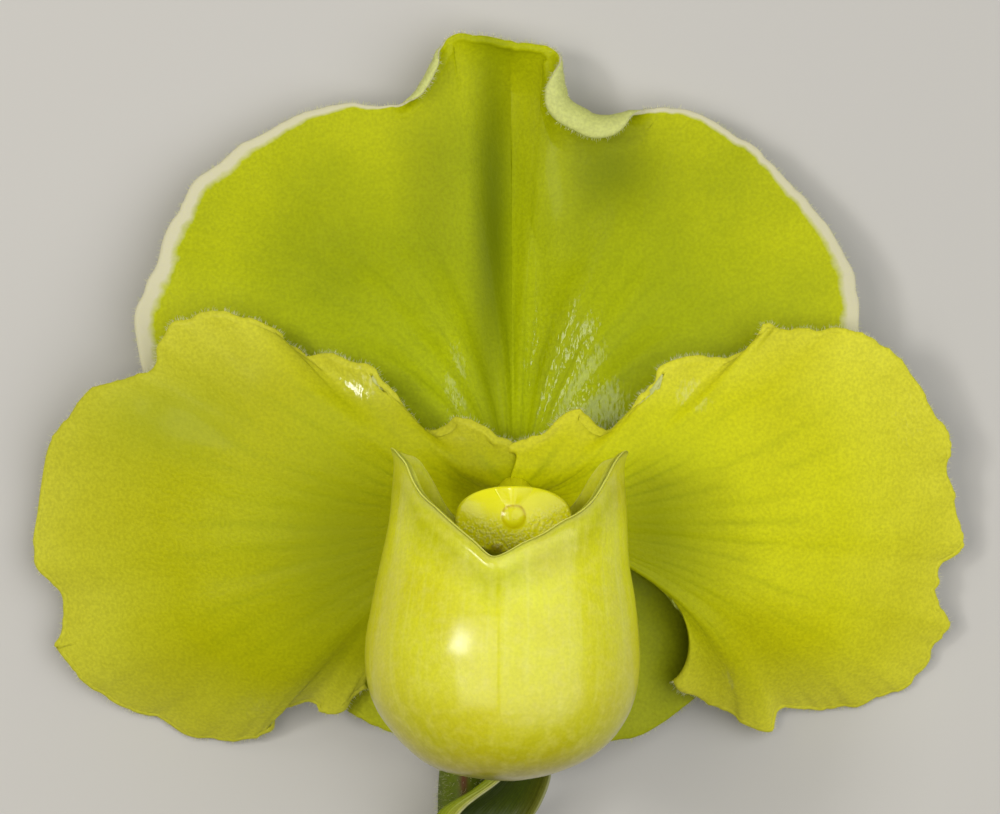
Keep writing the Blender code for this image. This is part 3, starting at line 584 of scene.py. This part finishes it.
def buildTepal(name, node, tepal, materials):
    # ribs along the veins, swells and pleats lift the middle surface
    rows, columns = tepal["grid"]
    along = np.linspace(0, 1, columns)
    along = along + tepal["crowdTip"] * np.sin(2 * pi * along) / (2 * pi)
    edge, sides = np.meshgrid(np.linspace(0, 1, rows), along, indexing="ij")
    middle = bladePoints(tepal, edge[:, 0], along)
    normals = gridNormals(middle)
    facing = upward(normals)
    steps = np.linalg.norm(np.diff(middle, axis=0), axis=-1)
    distance = np.concatenate([np.zeros((1, columns)), np.cumsum(steps, axis=0)])
    share = distance / distance[-1]
    fromMargin = distance[-1] - distance
    lift = tepal["ribMm"] * np.cos(2 * pi * tepal["veins"] * sides) * share * (1 - share)
    for number, (high, size) in enumerate(blade["swells"]):
        lift = lift + high * lumps(middle, size, tepal["seed"] + number)
    pleated = np.exp(-((distance - blade["pleatsAt"]) / blade["pleatsReach"])**2)
    lift = lift + tepal["pleatMm"] * np.cos(2 * pi * blade["pleats"] * sides) * pleated
    clawFade, marginFade = blade["fadeMm"]
    lift = lift * np.clip(distance / clawFade, 0, 1) * np.clip(fromMargin / marginFade, 0, 1)
    middle = middle + normals * facing * lift[..., None]
    inwards = np.minimum(fromMargin / blade["rimMm"], np.minimum(sides, 1 - sides) / blade["sideRim"])
    vertices, faces = shell(middle, blade["thick"] * roundedEdge(inwards, 0.03), facing)
    skins = np.repeat([0, 1, 0], [len(part) for part in faces])
    # the wet spots, and the deep spots: painted shade, with some deeper green on the dorsal
    values = {key: spots(middle, tepal[key]) for key in ("wet", "deep") if key in tepal}
    if "bandAt" in tepal:
        values["band"] = fromMargin / np.interp(sides, tepal["bandAt"], tepal["bandMm"])
    if "valley" in tepal:
        # right of the valley's line the painted shade falls at once to about a third, and comes back after 6
        # mm
        beyond = middle[..., 0] - tepal["valley"]["x"]
        values["deep"] *= np.clip(1.2 - beyond / 0.5, 0.35, 1) + np.clip((beyond - 6) / 4, 0, 0.65)
    makePiece(name, vertices, faces, materials, (node,), (sides, share), values, skins)
    return middle, normals * facing


sepalLook = {
    "roughness": 0.5, "mirror": 0.13, "coat": 0.02, "coatRoughness": 0.1, "flesh": 0.12,
    "skin": ((0.0, "#bcc800"), (0.25, "#aab600"), (0.6, "#a6b000"), (1.0, "#bcc008")),
    # deep is the colour of the deep spots: painted shade, with some deeper green along the valley
    "patch": "#8a9600", "patchMm": 14.0, "patchShare": 0.4, "deep": "#647000",
    "veins": 26.0, "vein": "#7c8a00", "veinFade": ((0.0, "#a0a0a0"), (0.35, "#989898"), (0.85, "#000000")),
    "grain": 0.09, "band": "#d2cda9", "puckers": (150.0, 28.0, 1.0), "puckerMm": 0.08, "cellMm": 0.035,
    "crinkleMm": 0.12,
}
petalLook = {
    "roughness": 0.48, "mirror": 0.13, "coat": 0.02, "coatRoughness": 0.12, "flesh": 0.2,
    # skin: lightest at the claw, partly the claw's own yellow and partly painted light that lifts the shade
    # of the pouch and staminode there; deep is the colour of the painted shade in the deep spots
    "skin": ((0.0, "#f4f200"), (0.22, "#d0d400"), (0.7, "#cece0c"), (1.0, "#deda3a")),
    "patch": "#b2ae00", "patchMm": 16.0, "patchShare": 0.4, "deep": "#98a000",
    "veins": 22.0, "vein": "#8e9a00", "veinFade": ((0.0, "#707070"), (0.3, "#b8b8b8"), (0.85, "#000000")),
    "grain": 0.09, "puckers": (120.0, 34.0, 1.0), "puckerMm": 0.08, "cellMm": 0.04, "crinkleMm": 0.08,
}
# the left petal's copy of the petal look, darker all over: painted shade, as the left petal gets less light
# than the right one
leftShadedLook = dict(petalLook, skin=((0.0, "#f0f000"), (0.22, "#b8be00"), (0.7, "#b4b608"), (1.0, "#d0ce3c")))
# the synsepal's skin: its own green, lightened by painted light that lifts the shadow of the pouch and petals
# on it
synsepalLook = dict(sepalLook, skin=((0.0, "#9aa400"), (0.5, "#a0aa00"), (1.0, "#b0b420")), patch="#808a00",
                    veins=16.0, vein="#7a8600")
backLook = dict(sepalLook, skin=((0.0, "#9aa628"), (0.6, "#b2bc48"), (1.0, "#ccd080")), patch="#bec468",
                coat=0.03, roughness=0.6)
for look in (synsepalLook, backLook):
    for key in ("band", "deep", "crinkleMm"):
        del look[key]

petalSkin = waxyTepal("waxyPetal", petalLook)
leftShadedSkin = waxyTepal("waxyPetalLeftShaded", leftShadedLook)
sepalSkin = waxyTepal("waxySepal", sepalLook)
synsepalSkin = waxyTepal("waxySynsepal", synsepalLook)
backSkin = waxyTepal("downyTepalBack", backLook)

dorsalGrid = buildTepal("dorsalSepal", "dorsal_sepal", dorsal, (sepalSkin, backSkin))
synsepalGrid = buildTepal("synsepal", "synsepal", synsepal, (synsepalSkin, backSkin))
leftGrid = buildTepal("petalLeft", "petal_left", petalLeft, (leftShadedSkin, backSkin))
rightGrid = buildTepal("petalRight", "petal_right", petalRight, (petalSkin, backSkin))
print("tepals built")


# Pouch

pouch = {
    "toeY": -46.3, "thick": 0.95, "sink": 0.3, "lip": 0.8, "lipShare": 0.04, "grid": (120, 220),
    # the keel's height, place, half width from one height above the toe to another, and its ends
    "keel": 1.0, "keelX": 0.0, "keelAt": (12, 26), "keelWidth": (8.0, 4.0), "keelTop": 30, "keelFade": 9,
    # height above the toe, half width, half depth, how high its middle lies, where its middle is sideways
    "sections": (
        (0.0, 0.0, 0.0, 38.0, 0.9), (0.4, 4.0, 3.3, 37.8, 0.6), (1.0, 6.7, 5.6, 37.5, 0.3),
        (2.1, 9.5, 7.9, 37.1, 0.4), (3.9, 12.1, 10.1, 36.5, 0.6), (5.8, 13.9, 11.5, 36.0, 0.6),
        (8.1, 15.5, 12.6, 35.4, 0.5), (10.4, 16.5, 13.3, 35.0, 0.4), (13.6, 17.1, 13.8, 34.5, 0.3),
        (17.0, 17.1, 14.0, 34.2, 0.3), (22.3, 16.4, 13.6, 33.7, 0.5), (27.2, 15.5, 13.0, 33.2, 0.6),
        (32.2, 14.9, 12.3, 32.7, 1.0), (37.2, 14.5, 11.7, 32.3, 1.1), (42.0, 14.2, 11.2, 32.0, 1.2)),
    # angle from the front, positive to the right, and the rim's height above the toe
    "rim": (
        (-180, 30.5), (-160, 31.2), (-148, 33.6), (-138, 37.0), (-128, 39.4), (-112, 40.4), (-95, 40.9),
        (-82, 41.2), (-74, 41.0), (-65, 40.2), (-57, 39.0), (-52, 37.4), (-45, 35.6), (-35, 33.8),
        (-26, 32.0), (-15, 29.9), (-5, 28.0), (1, 28.6), (7, 29.6), (16, 30.7), (25, 32.2), (34, 33.3),
        (43, 34.9), (52, 37.2), (60, 39.3), (68, 40.4), (76, 40.8), (85, 40.6), (100, 40.2), (115, 39.8),
        (125, 39.2), (134, 37.4), (142, 35.0), (150, 33.0), (162, 31.2), (180, 30.5)),
}


def pouchPoints(rise, around):
    # a ring of half width w and half depth d at each height: x = w sin(a), z = middle + d cos(a), with a
    # keel down the front, k exp(-|x| / width), and a lip that turns outwards in the last share of the
    # rise, more so at the front
    angle = 360 * around - 180
    rim = np.array(pouch["rim"], float)
    height = hermite(rim[:, 0], rim[:, 1], angle) * rise**1.5
    sections = np.array(pouch["sections"], float)
    wide, deep, middle, centre = hermite(np.sqrt(sections[:, 0]), sections[:, 1:], np.sqrt(height)).T
    turn = np.radians(angle)
    x = centre + wide * np.sin(turn)
    keelWidth = np.interp(height, pouch["keelAt"], pouch["keelWidth"])
    fromEnds = np.clip(np.minimum(height, pouch["keelTop"] - height) / pouch["keelFade"], 0, 1)
    keel = pouch["keel"] * np.exp(-np.abs(x - pouch["keelX"]) / keelWidth)
    keel = keel * np.clip(np.cos(turn), 0, 1) * fromEnds
    lip = pouch["lip"] * np.clip((rise - 1) / pouch["lipShare"] + 1, 0, 1)**2
    lip = lip * np.clip(1.4 * np.cos(turn) + 0.7, 0, 1)
    return np.column_stack([x + lip * np.sin(turn), pouch["toeY"] + height,
                            middle + (deep + lip) * np.cos(turn) - pouch["sink"] + keel])


def buildPouch(material):
    rows, columns = pouch["grid"]
    rise, around = evenGrid(rows, columns)
    outer = pouchPoints(rise.ravel(), around.ravel()).reshape(rows, columns, 3)
    normals = gridNormals(outer)
    normals[0] = unit(normals[1].mean(axis=0))
    normals[:, 0] = normals[:, -1] = unit(normals[:, 0] + normals[:, -1])
    outwards = 1 if normals[rows // 2, columns // 2, 2] > 0 else -1
    normals *= outwards
    # soft dimples, more of them near the toe
    dimples = 0.05 * lumps(outer, 4.5, 21)
    dimples = dimples + 0.035 * lumps(outer, 1.8, 22) * np.clip(1.6 - 2.6 * rise, 0.15, 1)
    outer = outer + normals * dimples[..., None]
    inner = outer - normals * (pouch["thick"] * roundedEdge((1 - rise) / 0.03, 0.05))[..., None]
    vertices = np.concatenate([outer.reshape(-1, 3), inner.reshape(-1, 3)])
    size = rows * columns
    faces = [gridFaces(rows, columns, 0, outwards < 0), gridFaces(rows, columns, size, outwards > 0)]
    top = np.arange(size - columns, size)
    lip = np.stack([top[:-1], top[1:], top[1:] + size, top[:-1] + size], axis=-1)
    faces.append(lip if outwards < 0 else lip[:, ::-1])
    makePiece("pouch", vertices, faces, (material,), ("pouch",), (around, rise), weld=True)


pouchLook = {
    "roughness": 0.38, "mirror": 0.2, "coat": 0.65, "coatRoughness": 0.17, "flesh": 0.2,
    # skin: darker at 0.93 of the rise, just under the lip: painted shade where the rim turns out over the
    # wall
    "skin": ((0.0, "#8a8400"), (0.14, "#a49c02"), (0.3, "#bebc14"), (0.5, "#d6d42c"), (0.84, "#e2e420"),
             (0.93, "#c2c60a"), (0.98, "#dce034"), (1.0, "#e2e660")),
    "mottle": "#e8e07a", "mottleMm": 1.3, "mottleShare": 0.2,
    "patch": "#c4b414", "patchMm": 12.0, "patchShare": 0.35,
    "veins": 90.0, "streakLong": 1.3, "vein": "#e6e670",
    "veinFade": ((0.0, "#000000"), (0.4, "#707070"), (0.8, "#c0c0c0"), (1.0, "#707070")),
    "grain": 0.05, "puckers": (150.0, 26.0, 1.0), "puckerMm": 0.1, "cellMm": 0.012,
}
buildPouch(waxyTepal("glossyPouch", pouchLook))
print("pouch built")


# Staminode, column, anthers and stigma

staminode = {
    "centre": (1.7, -14.0, 31.9), "halfWidth": 7.3, "halfHeight": 4.1, "powers": (0.92, 0.85),
    "thick": 1.1, "dome": 0.8, "boss": (0.0, 0.4), "bossRadius": 1.2, "bossHigh": 0.28,
    # the ridge starts this far above the boss, and rises to its height over this length
    "ridgeFrom": 0.8, "ridgeLong": 2.6, "ridgeHigh": 1.0,
    "tooth": (-2.1, -3.5), "toothHalf": 0.5, "toothHigh": 0.5, "wartMm": 0.6, "wartHigh": 0.05,
    "grid": (60, 190),
}


def staminodePoints(out, around):
    # an oval a little squarer than an ellipse, x = a cos(t)^p and y = b sin(t)^q; height d(1 - out^2),
    # with a round boss, a three-sided ridge from the boss to the top, and a tooth at the foot
    turn = 2 * pi * around
    powerX, powerY = staminode["powers"]
    x = staminode["halfWidth"] * out * np.sign(np.cos(turn)) * np.abs(np.cos(turn))**powerX
    y = staminode["halfHeight"] * out * np.sign(np.sin(turn)) * np.abs(np.sin(turn))**powerY
    bossX, bossY = staminode["boss"]
    fromBoss = np.hypot(x - bossX, y - bossY) / staminode["bossRadius"]
    boss = staminode["bossHigh"] * np.exp(-fromBoss**4)
    rise = np.clip((y - bossY - staminode["ridgeFrom"]) / staminode["ridgeLong"], 0, 1)
    ridge = staminode["ridgeHigh"] * rise * np.clip(1 - np.abs(x - bossX) / (0.7 + 1.6 * rise), 0, 1)
    half = staminode["toothHalf"]
    tooth = staminode["toothHigh"] * bell(np.column_stack([x, y]), *staminode["tooth"], half, half)
    return np.column_stack([x, y, staminode["dome"] * (1 - out**2) + boss + ridge + tooth])


def buildStaminode(material):
    rows, columns = staminode["grid"]
    out, around = evenGrid(rows, columns, 0.004)
    middle = staminodePoints(out.ravel(), around.ravel()).reshape(rows, columns, 3)
    x, y = middle[..., 0], middle[..., 1]
    (bossX, bossY), (toothX, toothY) = staminode["boss"], staminode["tooth"]
    fromBoss = np.hypot(x - bossX, y - bossY) / staminode["bossRadius"]
    warty = np.clip((fromBoss - 1.2) / 0.6, 0, 1) * np.clip(0.5 - y / 2.2 + 0.45 * np.clip(x / 4, 0, 2), 0, 1)
    ochre = 0.8 * np.exp(-((fromBoss - 1.02) / 0.17)**2) * np.clip(0.7 + 0.5 * (y - 0.4), 0.35, 1)
    brown = 0.6 * np.exp(-((x - toothX) / 0.5)**4 - ((y - toothY) / 0.3)**4)
    knobs = np.clip(lumps(middle * [1, 1, 0.2], staminode["wartMm"], 31), 0, 1)
    middle[..., 2] += staminode["wartHigh"] * warty * knobs
    middle = middle + np.array(staminode["centre"])
    thickness = staminode["thick"] * roundedEdge((1 - out) / 0.07, 0.05)
    vertices, faces = shell(middle, thickness, upward(gridNormals(middle)), closed=True)
    values = {"warts": warty, "ochre": ochre, "brown": brown}
    makePiece("staminode", vertices, faces, (material,), ("staminode",), values=values, weld=True)


def wartyShield(name, look):
    # Staminode: glistening flesh set with fine round warts, each with its own point of light, painted pale on
    # its crown as a highlight
    made, tree, place = newMaterial(name, look)
    skin = ramp(tree, noise(tree, place, look["patchMm"] * mm, 3.0), look["drift"])
    dots = {"Vector": place, "Scale": 1 / (look["wartMm"] * mm)}
    fromDot = addNode(tree, "TexVoronoi", dots, feature="SMOOTH_F1").outputs["Distance"]
    domes = between(tree, fromDot, look["wartEdges"], 1.0, 0.0)
    warts = reckon(tree, "MULTIPLY", domes, attribute(tree, "warts"))
    # pale on each wart's crown: a painted highlight, the glitter of the domes
    skin = tinted(tree, skin, reckon(tree, "MULTIPLY", warts, look["wartShare"]), look["wartGlint"])
    for mark in ("ochre", "brown"):
        skin = tinted(tree, skin, attribute(tree, mark), look[mark])
    fine = relieved(tree, noise(tree, place, look["fineMm"] * mm, 1.0), look["fineHighMm"])
    return finished(made, skin, relieved(tree, warts, look["wartHighMm"], fine))


columnLook = {
    "roughness": 0.32, "coat": 0.4, "coatRoughness": 0.12, "flesh": 0.2,
    "drift": ((0.3, "#e6e400"), (0.7, "#f2ee18")), "patchMm": 5.0,
    "grain": 0.06, "grainMm": 0.5, "reliefMm": 0.05,
}
shieldLook = dict(columnLook, roughness=0.26, wartGlint="#f6f4a0", wartShare=0.4, wartMm=0.34, wartHighMm=0.08,
                  wartEdges=(0.1, 0.55), fineMm=0.4, fineHighMm=0.03, ochre="#c8ac00", brown="#8c7400")
columnSkin = fleshyPlain("columnFlesh", columnLook)
buildStaminode(wartyShield("wartyShield", shieldLook))
for node in ("column", "anther_left", "anther_right", "stigma"):
    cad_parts[node].data.materials.clear()
    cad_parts[node].data.materials.append(columnSkin)
print("staminode built")


# Ovary, scape and bract

stalk = {
    # x, y, z and radius along the middle line, how high the three ribs stand, rows and columns
    "ovary": (
        ((-4.6, -62.0, 3.9, 3.2), (-4.6, -52.0, 3.8, 3.5), (-4.3, -47.0, 3.8, 3.5), (-3.3, -41.0, 3.8, 3.4),
         (-1.4, -30.0, 3.8, 3.4), (0.3, -19.5, 4.4, 3.3), (1.4, -12.1, 7.2, 3.1), (1.7, -10.8, 10.1, 2.9),
         (1.7, -10.7, 12.7, 3.0)), 0.07, 120, 60),
    "scape": (
        ((-4.62, -62.4, 3.4, 3.0), (-5.3, -78.0, 3.0, 3.0), (-6.6, -98.0, 2.9, 3.0),
         (-8.6, -121.0, 2.9, 3.0)),
        0.0, 90, 48),
    "rust": ((-4.7, -48.4, 0.5, 2.4, 1.0),),  # a spot, used above the height of 4 mm
}


def tubePoints(path, ribs, along, around):
    # a ring of radius r (1 + ribs cos(3 a) sin(pi s)) square to the path at each place s along it
    line = through(path, along)
    bare = [station[:3] for station in path]
    tangent = unit(through(bare, np.clip(along + 0.01, 0, 1)) - through(bare, np.clip(along - 0.01, 0, 1)))
    side = unit(np.cross(tangent, np.array([-1.0, 0, 0])))
    turn = 2 * pi * around
    radius = line[:, 3] * (1 + ribs * np.cos(3 * turn) * np.sin(pi * along))
    out = side * np.cos(turn)[:, None] + np.cross(tangent, side) * np.sin(turn)[:, None]
    return line[:, :3] + out * radius[:, None]


def buildTube(name, material):
    path, ribs, rows, columns = stalk[name]
    along, around = evenGrid(rows, columns)
    wall = tubePoints(path, ribs, along.ravel(), around.ravel()).reshape(rows, columns, 3)
    wall = wall + gridNormals(wall) * (0.05 * lumps(wall, 2.0, 41) * np.sin(pi * along))[..., None]
    ends = [np.repeat(row.mean(axis=0)[None], columns, axis=0) for row in (wall[0], wall[-1])]
    wall = np.concatenate([ends[0][None], wall, ends[1][None]])
    facing = gridNormals(wall)[rows // 2, 0] @ (wall[rows // 2, 0] - wall[rows // 2].mean(axis=0)) > 0
    rust = spots(wall, stalk["rust"]) * (wall[..., 2] > 4)
    faces = [gridFaces(rows + 2, columns, 0, not facing)]
    piece = makePiece(name, wall, faces, (material,), (name,), values={"rust": rust}, weld=True)
    piece.data.set_sharp_from_angle(angle=1.0)
    normals = gridNormals(wall[1:-1])
    return wall[1:-1], normals if facing else -normals


stalkLook = {
    "roughness": 0.55, "coatRoughness": 0.3, "flesh": 0.1,
    "drift": ((0.3, "#4a5a04"), (0.7, "#66740e")), "patchMm": 6.0, "rust": "#5c2402",
    "grain": 0.1, "grainMm": 0.5, "reliefMm": 0.05,
}
stalkSkin = fleshyPlain("greenStalk", stalkLook)
ovaryGrid = buildTube("ovary", stalkSkin)
scapeGrid = buildTube("scape", stalkSkin)

bract = {
    # the edge is the share of the width over which it thins out
    "thick": 0.6, "edge": 0.8 / 18, "ribs": 13, "ribMm": 0.03, "rows": 70, "columns": 76,
    # from the free edge that faces the viewer, round its lit flank, under, and up to the other edge
    "net": (
        ((-8.7, -60.0, 3.9), (-7.8, -60.3, 7.0), (-4.6, -60.5, 8.1), (-1.7, -60.3, 6.9), (-0.5, -60.0, 3.9)),
        ((-7.4, -56.4, 9.4), (-8.9, -56.9, 7.9), (-5.2, -57.0, 8.0), (-0.6, -56.4, 7.4), (2.6, -55.6, 6.8)),
        ((-4.8, -52.0, 11.0), (-7.8, -52.6, 9.0), (-3.4, -52.6, 7.9), (2.2, -52.0, 7.7), (5.3, -51.3, 9.2)),
        ((-0.2, -48.3, 12.2), (-3.4, -49.6, 10.6), (0.2, -49.2, 9.2), (4.0, -48.4, 9.6), (6.6, -47.4, 11.0)),
        ((2.8, -45.4, 12.9), (2.0, -45.0, 12.6), (3.7, -44.3, 12.4), (5.2, -43.9, 12.7), (6.3, -44.2, 13.2))),
}


def bractPoints(rows, columns):
    # smooth through the net of points, across each row and then along the rows
    places = np.linspace(0, 1, 5)
    net = hermite(places, np.array(bract["net"]).swapaxes(0, 1), np.linspace(0, 1, columns))
    return hermite(places, net.swapaxes(0, 1), np.linspace(0, 1, rows))


def buildBract(material):
    along, across = evenGrid(bract["rows"], bract["columns"])
    middle = bractPoints(bract["rows"], bract["columns"])
    normals = gridNormals(middle)
    ribs = bract["ribMm"] * np.cos(2 * pi * bract["ribs"] * across)
    middle = middle + normals * ribs[..., None]
    thickness = bract["thick"] * roundedEdge(np.minimum(across, 1 - across) / bract["edge"], 0.05)
    vertices, faces = shell(middle, thickness, upward(normals))
    makePiece("bract", vertices, faces, (material,), ("bract",), (across, along))


def satinBract(name, look):
    # Bract: a thin firm leaf with parallel veins, its free edge papery and pale, darkest across the middle of
    # its width, where the hollow is
    made, tree, place = newMaterial(name, look)
    net = addNode(tree, "UVMap", uv_map="veins").outputs["UV"]
    across = addNode(tree, "SeparateXYZ", {0: net}).outputs[0]
    wave = reckon(tree, "PINGPONG", reckon(tree, "MULTIPLY", across, look["veins"]), 0.5)
    line = between(tree, wave, look["veinEdges"], look["veinShare"], 0.0)
    skin = tinted(tree, ramp(tree, across, look["skin"]), line, look["vein"])
    skin = grained(tree, skin, noise(tree, place, look["cellMm"] * mm), look["grain"])
    return finished(made, skin, relieved(tree, line, look["ribMm"]))


bractLook = {
    "roughness": 0.42, "coat": 0.1, "coatRoughness": 0.25, "flesh": 0.1, "grain": 0.08,
    "skin": ((0.0, "#c4c48a"), (0.035, "#a2a634"), (0.16, "#8c9a08"), (0.3, "#6c7a06"), (0.42, "#2f3c02"),
             (0.7, "#3c4802"), (0.9, "#525604"), (0.975, "#74762a"), (1.0, "#a4a676")),
    "veins": 44.0, "veinEdges": (0.0, 0.3), "vein": "#26320a", "veinShare": 0.3, "ribMm": 0.08, "cellMm": 0.6,
}
buildBract(satinBract("satinBract", bractLook))
print("stalk and bract built")


# Hairs

hair = {
    # the waist is where a hair bends, as a share of its length, and how thick it still is there; a hair
    # whose tip would come lower than lowest, into the table, is left out
    "width": 0.05, "bend": 0.35, "waist": 0.55, "waistWidth": 0.72, "lowest": 0.05,
    # hairs to the mm along a margin, shortest and longest
    "marginEach": 7.0, "marginLong": (0.35, 0.95),
    # hairs to the square mm on the stalk and on the dorsal sepal's back
    "coatEach": 2.6, "coatLong": (0.5, 1.1), "downEach": 5.0, "downLong": (0.3, 0.7),
}


def gridAt(grid, rows, columns):
    # the grid of points read between its rows and columns, in straight lines
    low, left = np.floor(rows).astype(int), np.floor(columns).astype(int)
    low, left = np.minimum(low, grid.shape[0] - 2), np.minimum(left, grid.shape[1] - 2)
    f, g = (rows - low)[:, None], (columns - left)[:, None]
    bottom = grid[low, left] * (1 - g) + grid[low, left + 1] * g
    return bottom * (1 - f) + (grid[low + 1, left] * (1 - g) + grid[low + 1, left + 1] * g) * f


def buildHairs(name, roots, ways, lengths, material):
    # each hair is a three-sided cone in two parts: the root, the waist and a bent tip
    count = len(roots)
    ways = unit(ways)
    side = unit(np.cross(ways, unit(rng.normal(size=(count, 3)))))
    other = np.cross(ways, side)
    bent = unit(ways + hair["bend"] * rng.normal(size=(count, 3)))
    turns = np.arange(3) * 2 * pi / 3
    ring = side[:, None] * np.cos(turns)[:, None] + other[:, None] * np.sin(turns)[:, None]
    lower = ways[:, None] * hair["waist"] * lengths[:, None, None]
    foot = roots[:, None] + ring * hair["width"] / 2
    waist = roots[:, None] + lower + ring * hair["waistWidth"] * hair["width"] / 2
    tip = roots[:, None] + lower + bent[:, None] * (1 - hair["waist"]) * lengths[:, None, None]
    free = tip[:, 0, 2] > hair["lowest"]
    vertices = np.concatenate([foot, waist, tip], axis=1)[free].reshape(-1, 3)
    count = int(free.sum())
    cone = [(0, 2, 1)]
    for i, j in ((0, 1), (1, 2), (2, 0)):
        cone += [(i, j, j + 3), (i, j + 3, i + 3), (i + 3, j + 3, 6)]
    makePiece(name, vertices, np.array(cone) + 7 * np.arange(count)[:, None, None], (material,))


def marginHairs(name, grid, normals, marginMm, material, slot):
    # out from the margin row, a little up or down
    count = int(hair["marginEach"] * marginMm)
    columns = rng.random(count) * (grid.shape[1] - 1)
    rows = np.full(count, grid.shape[0] - 1.0)
    roots = gridAt(grid, rows, columns)
    out = unit(roots - gridAt(grid, rows - 4, columns))
    up = gridAt(normals, rows, columns)
    lift = rng.normal(scale=0.3, size=(count, 1))
    ways = out + up * lift + 0.22 * rng.normal(size=(count, 3))
    shortest, longest = hair["marginLong"]
    lengths = shortest + (longest - shortest) * rng.random(count)**1.3
    roots = roots - 0.12 * out + 0.1 * up * rng.normal(size=(count, 1))
    buildHairs(name, roots, ways, lengths, material)


def coatHairs(name, grid, normals, each, long, material, slot, rowSpan, columnSpan=(0.0, 1.0), lean=0.3):
    # all over a stretch of the grid, kept to an even count by area
    count = int(each * coatArea(grid, rowSpan, columnSpan))
    rows = (rowSpan[0] + (rowSpan[1] - rowSpan[0]) * rng.random(count)) * (grid.shape[0] - 1)
    columns = (columnSpan[0] + (columnSpan[1] - columnSpan[0]) * rng.random(count)) * (grid.shape[1] - 1)
    up = gridAt(normals, rows, columns)
    lengths = long[0] + (long[1] - long[0]) * rng.random(count)
    roots = gridAt(grid, rows, columns)
    buildHairs(name, roots - 0.04 * up, up + lean * rng.normal(size=(count, 3)), lengths, material)


def coatArea(grid, rowSpan, columnSpan):
    rows = [int(share * (grid.shape[0] - 1)) for share in rowSpan]
    columns = [int(share * (grid.shape[1] - 1)) for share in columnSpan]
    part = grid[rows[0]:rows[1] + 1, columns[0]:columns[1] + 1]
    cross = np.cross(part[1:, :-1] - part[:-1, :-1], part[:-1, 1:] - part[:-1, :-1])
    return np.linalg.norm(cross, axis=-1).sum()


def glassyHair(name, look):
    # Plant hairs: hollow pale cells that catch the light along their whole length
    made, tree, place = newMaterial(name, look)
    return finished(made, ramp(tree, noise(tree, place, look["patchMm"] * mm), look["drift"]))


hairLook = {"roughness": 0.4, "patchMm": 4.0, "drift": ((0.35, "#d8dc98"), (0.65, "#ece9c4"))}
hairSkin = glassyHair("glassyHair", hairLook)
marginHairs("dorsalMarginHairs", *dorsalGrid, dorsal["marginMm"], hairSkin, "sepal")
marginHairs("synsepalMarginHairs", *synsepalGrid, synsepal["marginMm"], hairSkin, "sepal")
marginHairs("leftMarginHairs", *leftGrid, petalLeft["marginMm"], hairSkin, "petal")
marginHairs("rightMarginHairs", *rightGrid, petalRight["marginMm"], hairSkin, "petal")
coatHairs("ovaryHairs", *ovaryGrid, hair["coatEach"], hair["coatLong"], hairSkin, "stalk", (0.0, 0.8))
coatHairs("scapeHairs", *scapeGrid, hair["coatEach"], hair["coatLong"], hairSkin, "stalk", (0.02, 0.97))
backGrid = dorsalGrid[0] - dorsalGrid[1] * 0.36
coatHairs("dorsalBackDown", backGrid, -dorsalGrid[1], hair["downEach"], hair["downLong"], hairSkin, "sepal",
          (0.72, 0.97), (0.34, 0.66))
print("hairs built")


# Stage, lights and camera

stage = {"floor": "#c6c3bc", "roughness": 0.9, "halfSize": 900.0, "drop": 0.1}
camera = {"height": 691.0, "viewWidth": 129.5, "viewAt": 8.0, "sensor": 36.0}
lamps = (
    # name, place in mm, width and height in mm, watts, colour
    ("keyBox", (-250, -10, 540), 380, 260, 0.95, "#fffaf2"),
    ("sparkBox", (-385, 100, 515), 130, 120, 0.85, "#ffffff"),
    ("topBox", (-270, 330, 430), 120, 120, 0.2, "#ffffff"),
    ("fillBox", (520, 20, 930), 1300, 1300, 10.2, "#fbfcff"),
)


def buildStage():
    mesh = bpy.data.meshes.new("floor")
    half, low = stage["halfSize"] * mm, -stage["drop"] * mm
    corners = [(-half, -half, low), (half, -half, low), (half, half, low), (-half, half, low)]
    mesh.from_pydata(corners, [], [(0, 1, 2, 3)])
    floor = bpy.data.objects.new("floor", mesh)
    bpy.context.scene.collection.objects.link(floor)
    # Floor: plain pale paper
    paper = newMaterial("palePaper", stage)[0]
    paper.node_tree.nodes["Principled BSDF"].inputs["Base Color"].default_value = hexColour(stage["floor"])
    mesh.materials.append(paper)


def buildLights():
    bpy.context.scene.view_settings.view_transform = "Standard"  # keeps the strong yellow-greens
    world = bpy.data.worlds.new("studio")
    world.use_nodes = True
    world.node_tree.nodes["Background"].inputs["Color"].default_value = hexColour("#f2f2f0")
    world.node_tree.nodes["Background"].inputs["Strength"].default_value = 0.1
    bpy.context.scene.world = world
    middle = Vector(placed([(0, 0, 20)])[0])
    for name, place, width, height, watts, colour in lamps:
        light = bpy.data.lights.new(name, "AREA")
        light.shape, light.size, light.size_y = "RECTANGLE", width * mm, height * mm
        light.energy, light.color = watts, hexColour(colour)[:3]
        lamp = bpy.data.objects.new(name, light)
        lamp.location = Vector(placed([place])[0])
        lamp.rotation_euler = (middle - lamp.location).to_track_quat("-Z", "Y").to_euler()
        bpy.context.scene.collection.objects.link(lamp)


def buildCamera():
    lens = bpy.data.cameras.new("camera")
    lens.sensor_width = camera["sensor"]
    lens.lens = camera["sensor"] * (camera["height"] - camera["viewAt"]) / camera["viewWidth"]
    view = bpy.data.objects.new("camera", lens)
    view.location = Vector(placed([(0, 0, camera["height"])])[0])
    bpy.context.scene.collection.objects.link(view)
    bpy.context.scene.camera = view


buildStage()
buildLights()
buildCamera()
print("stage ready")
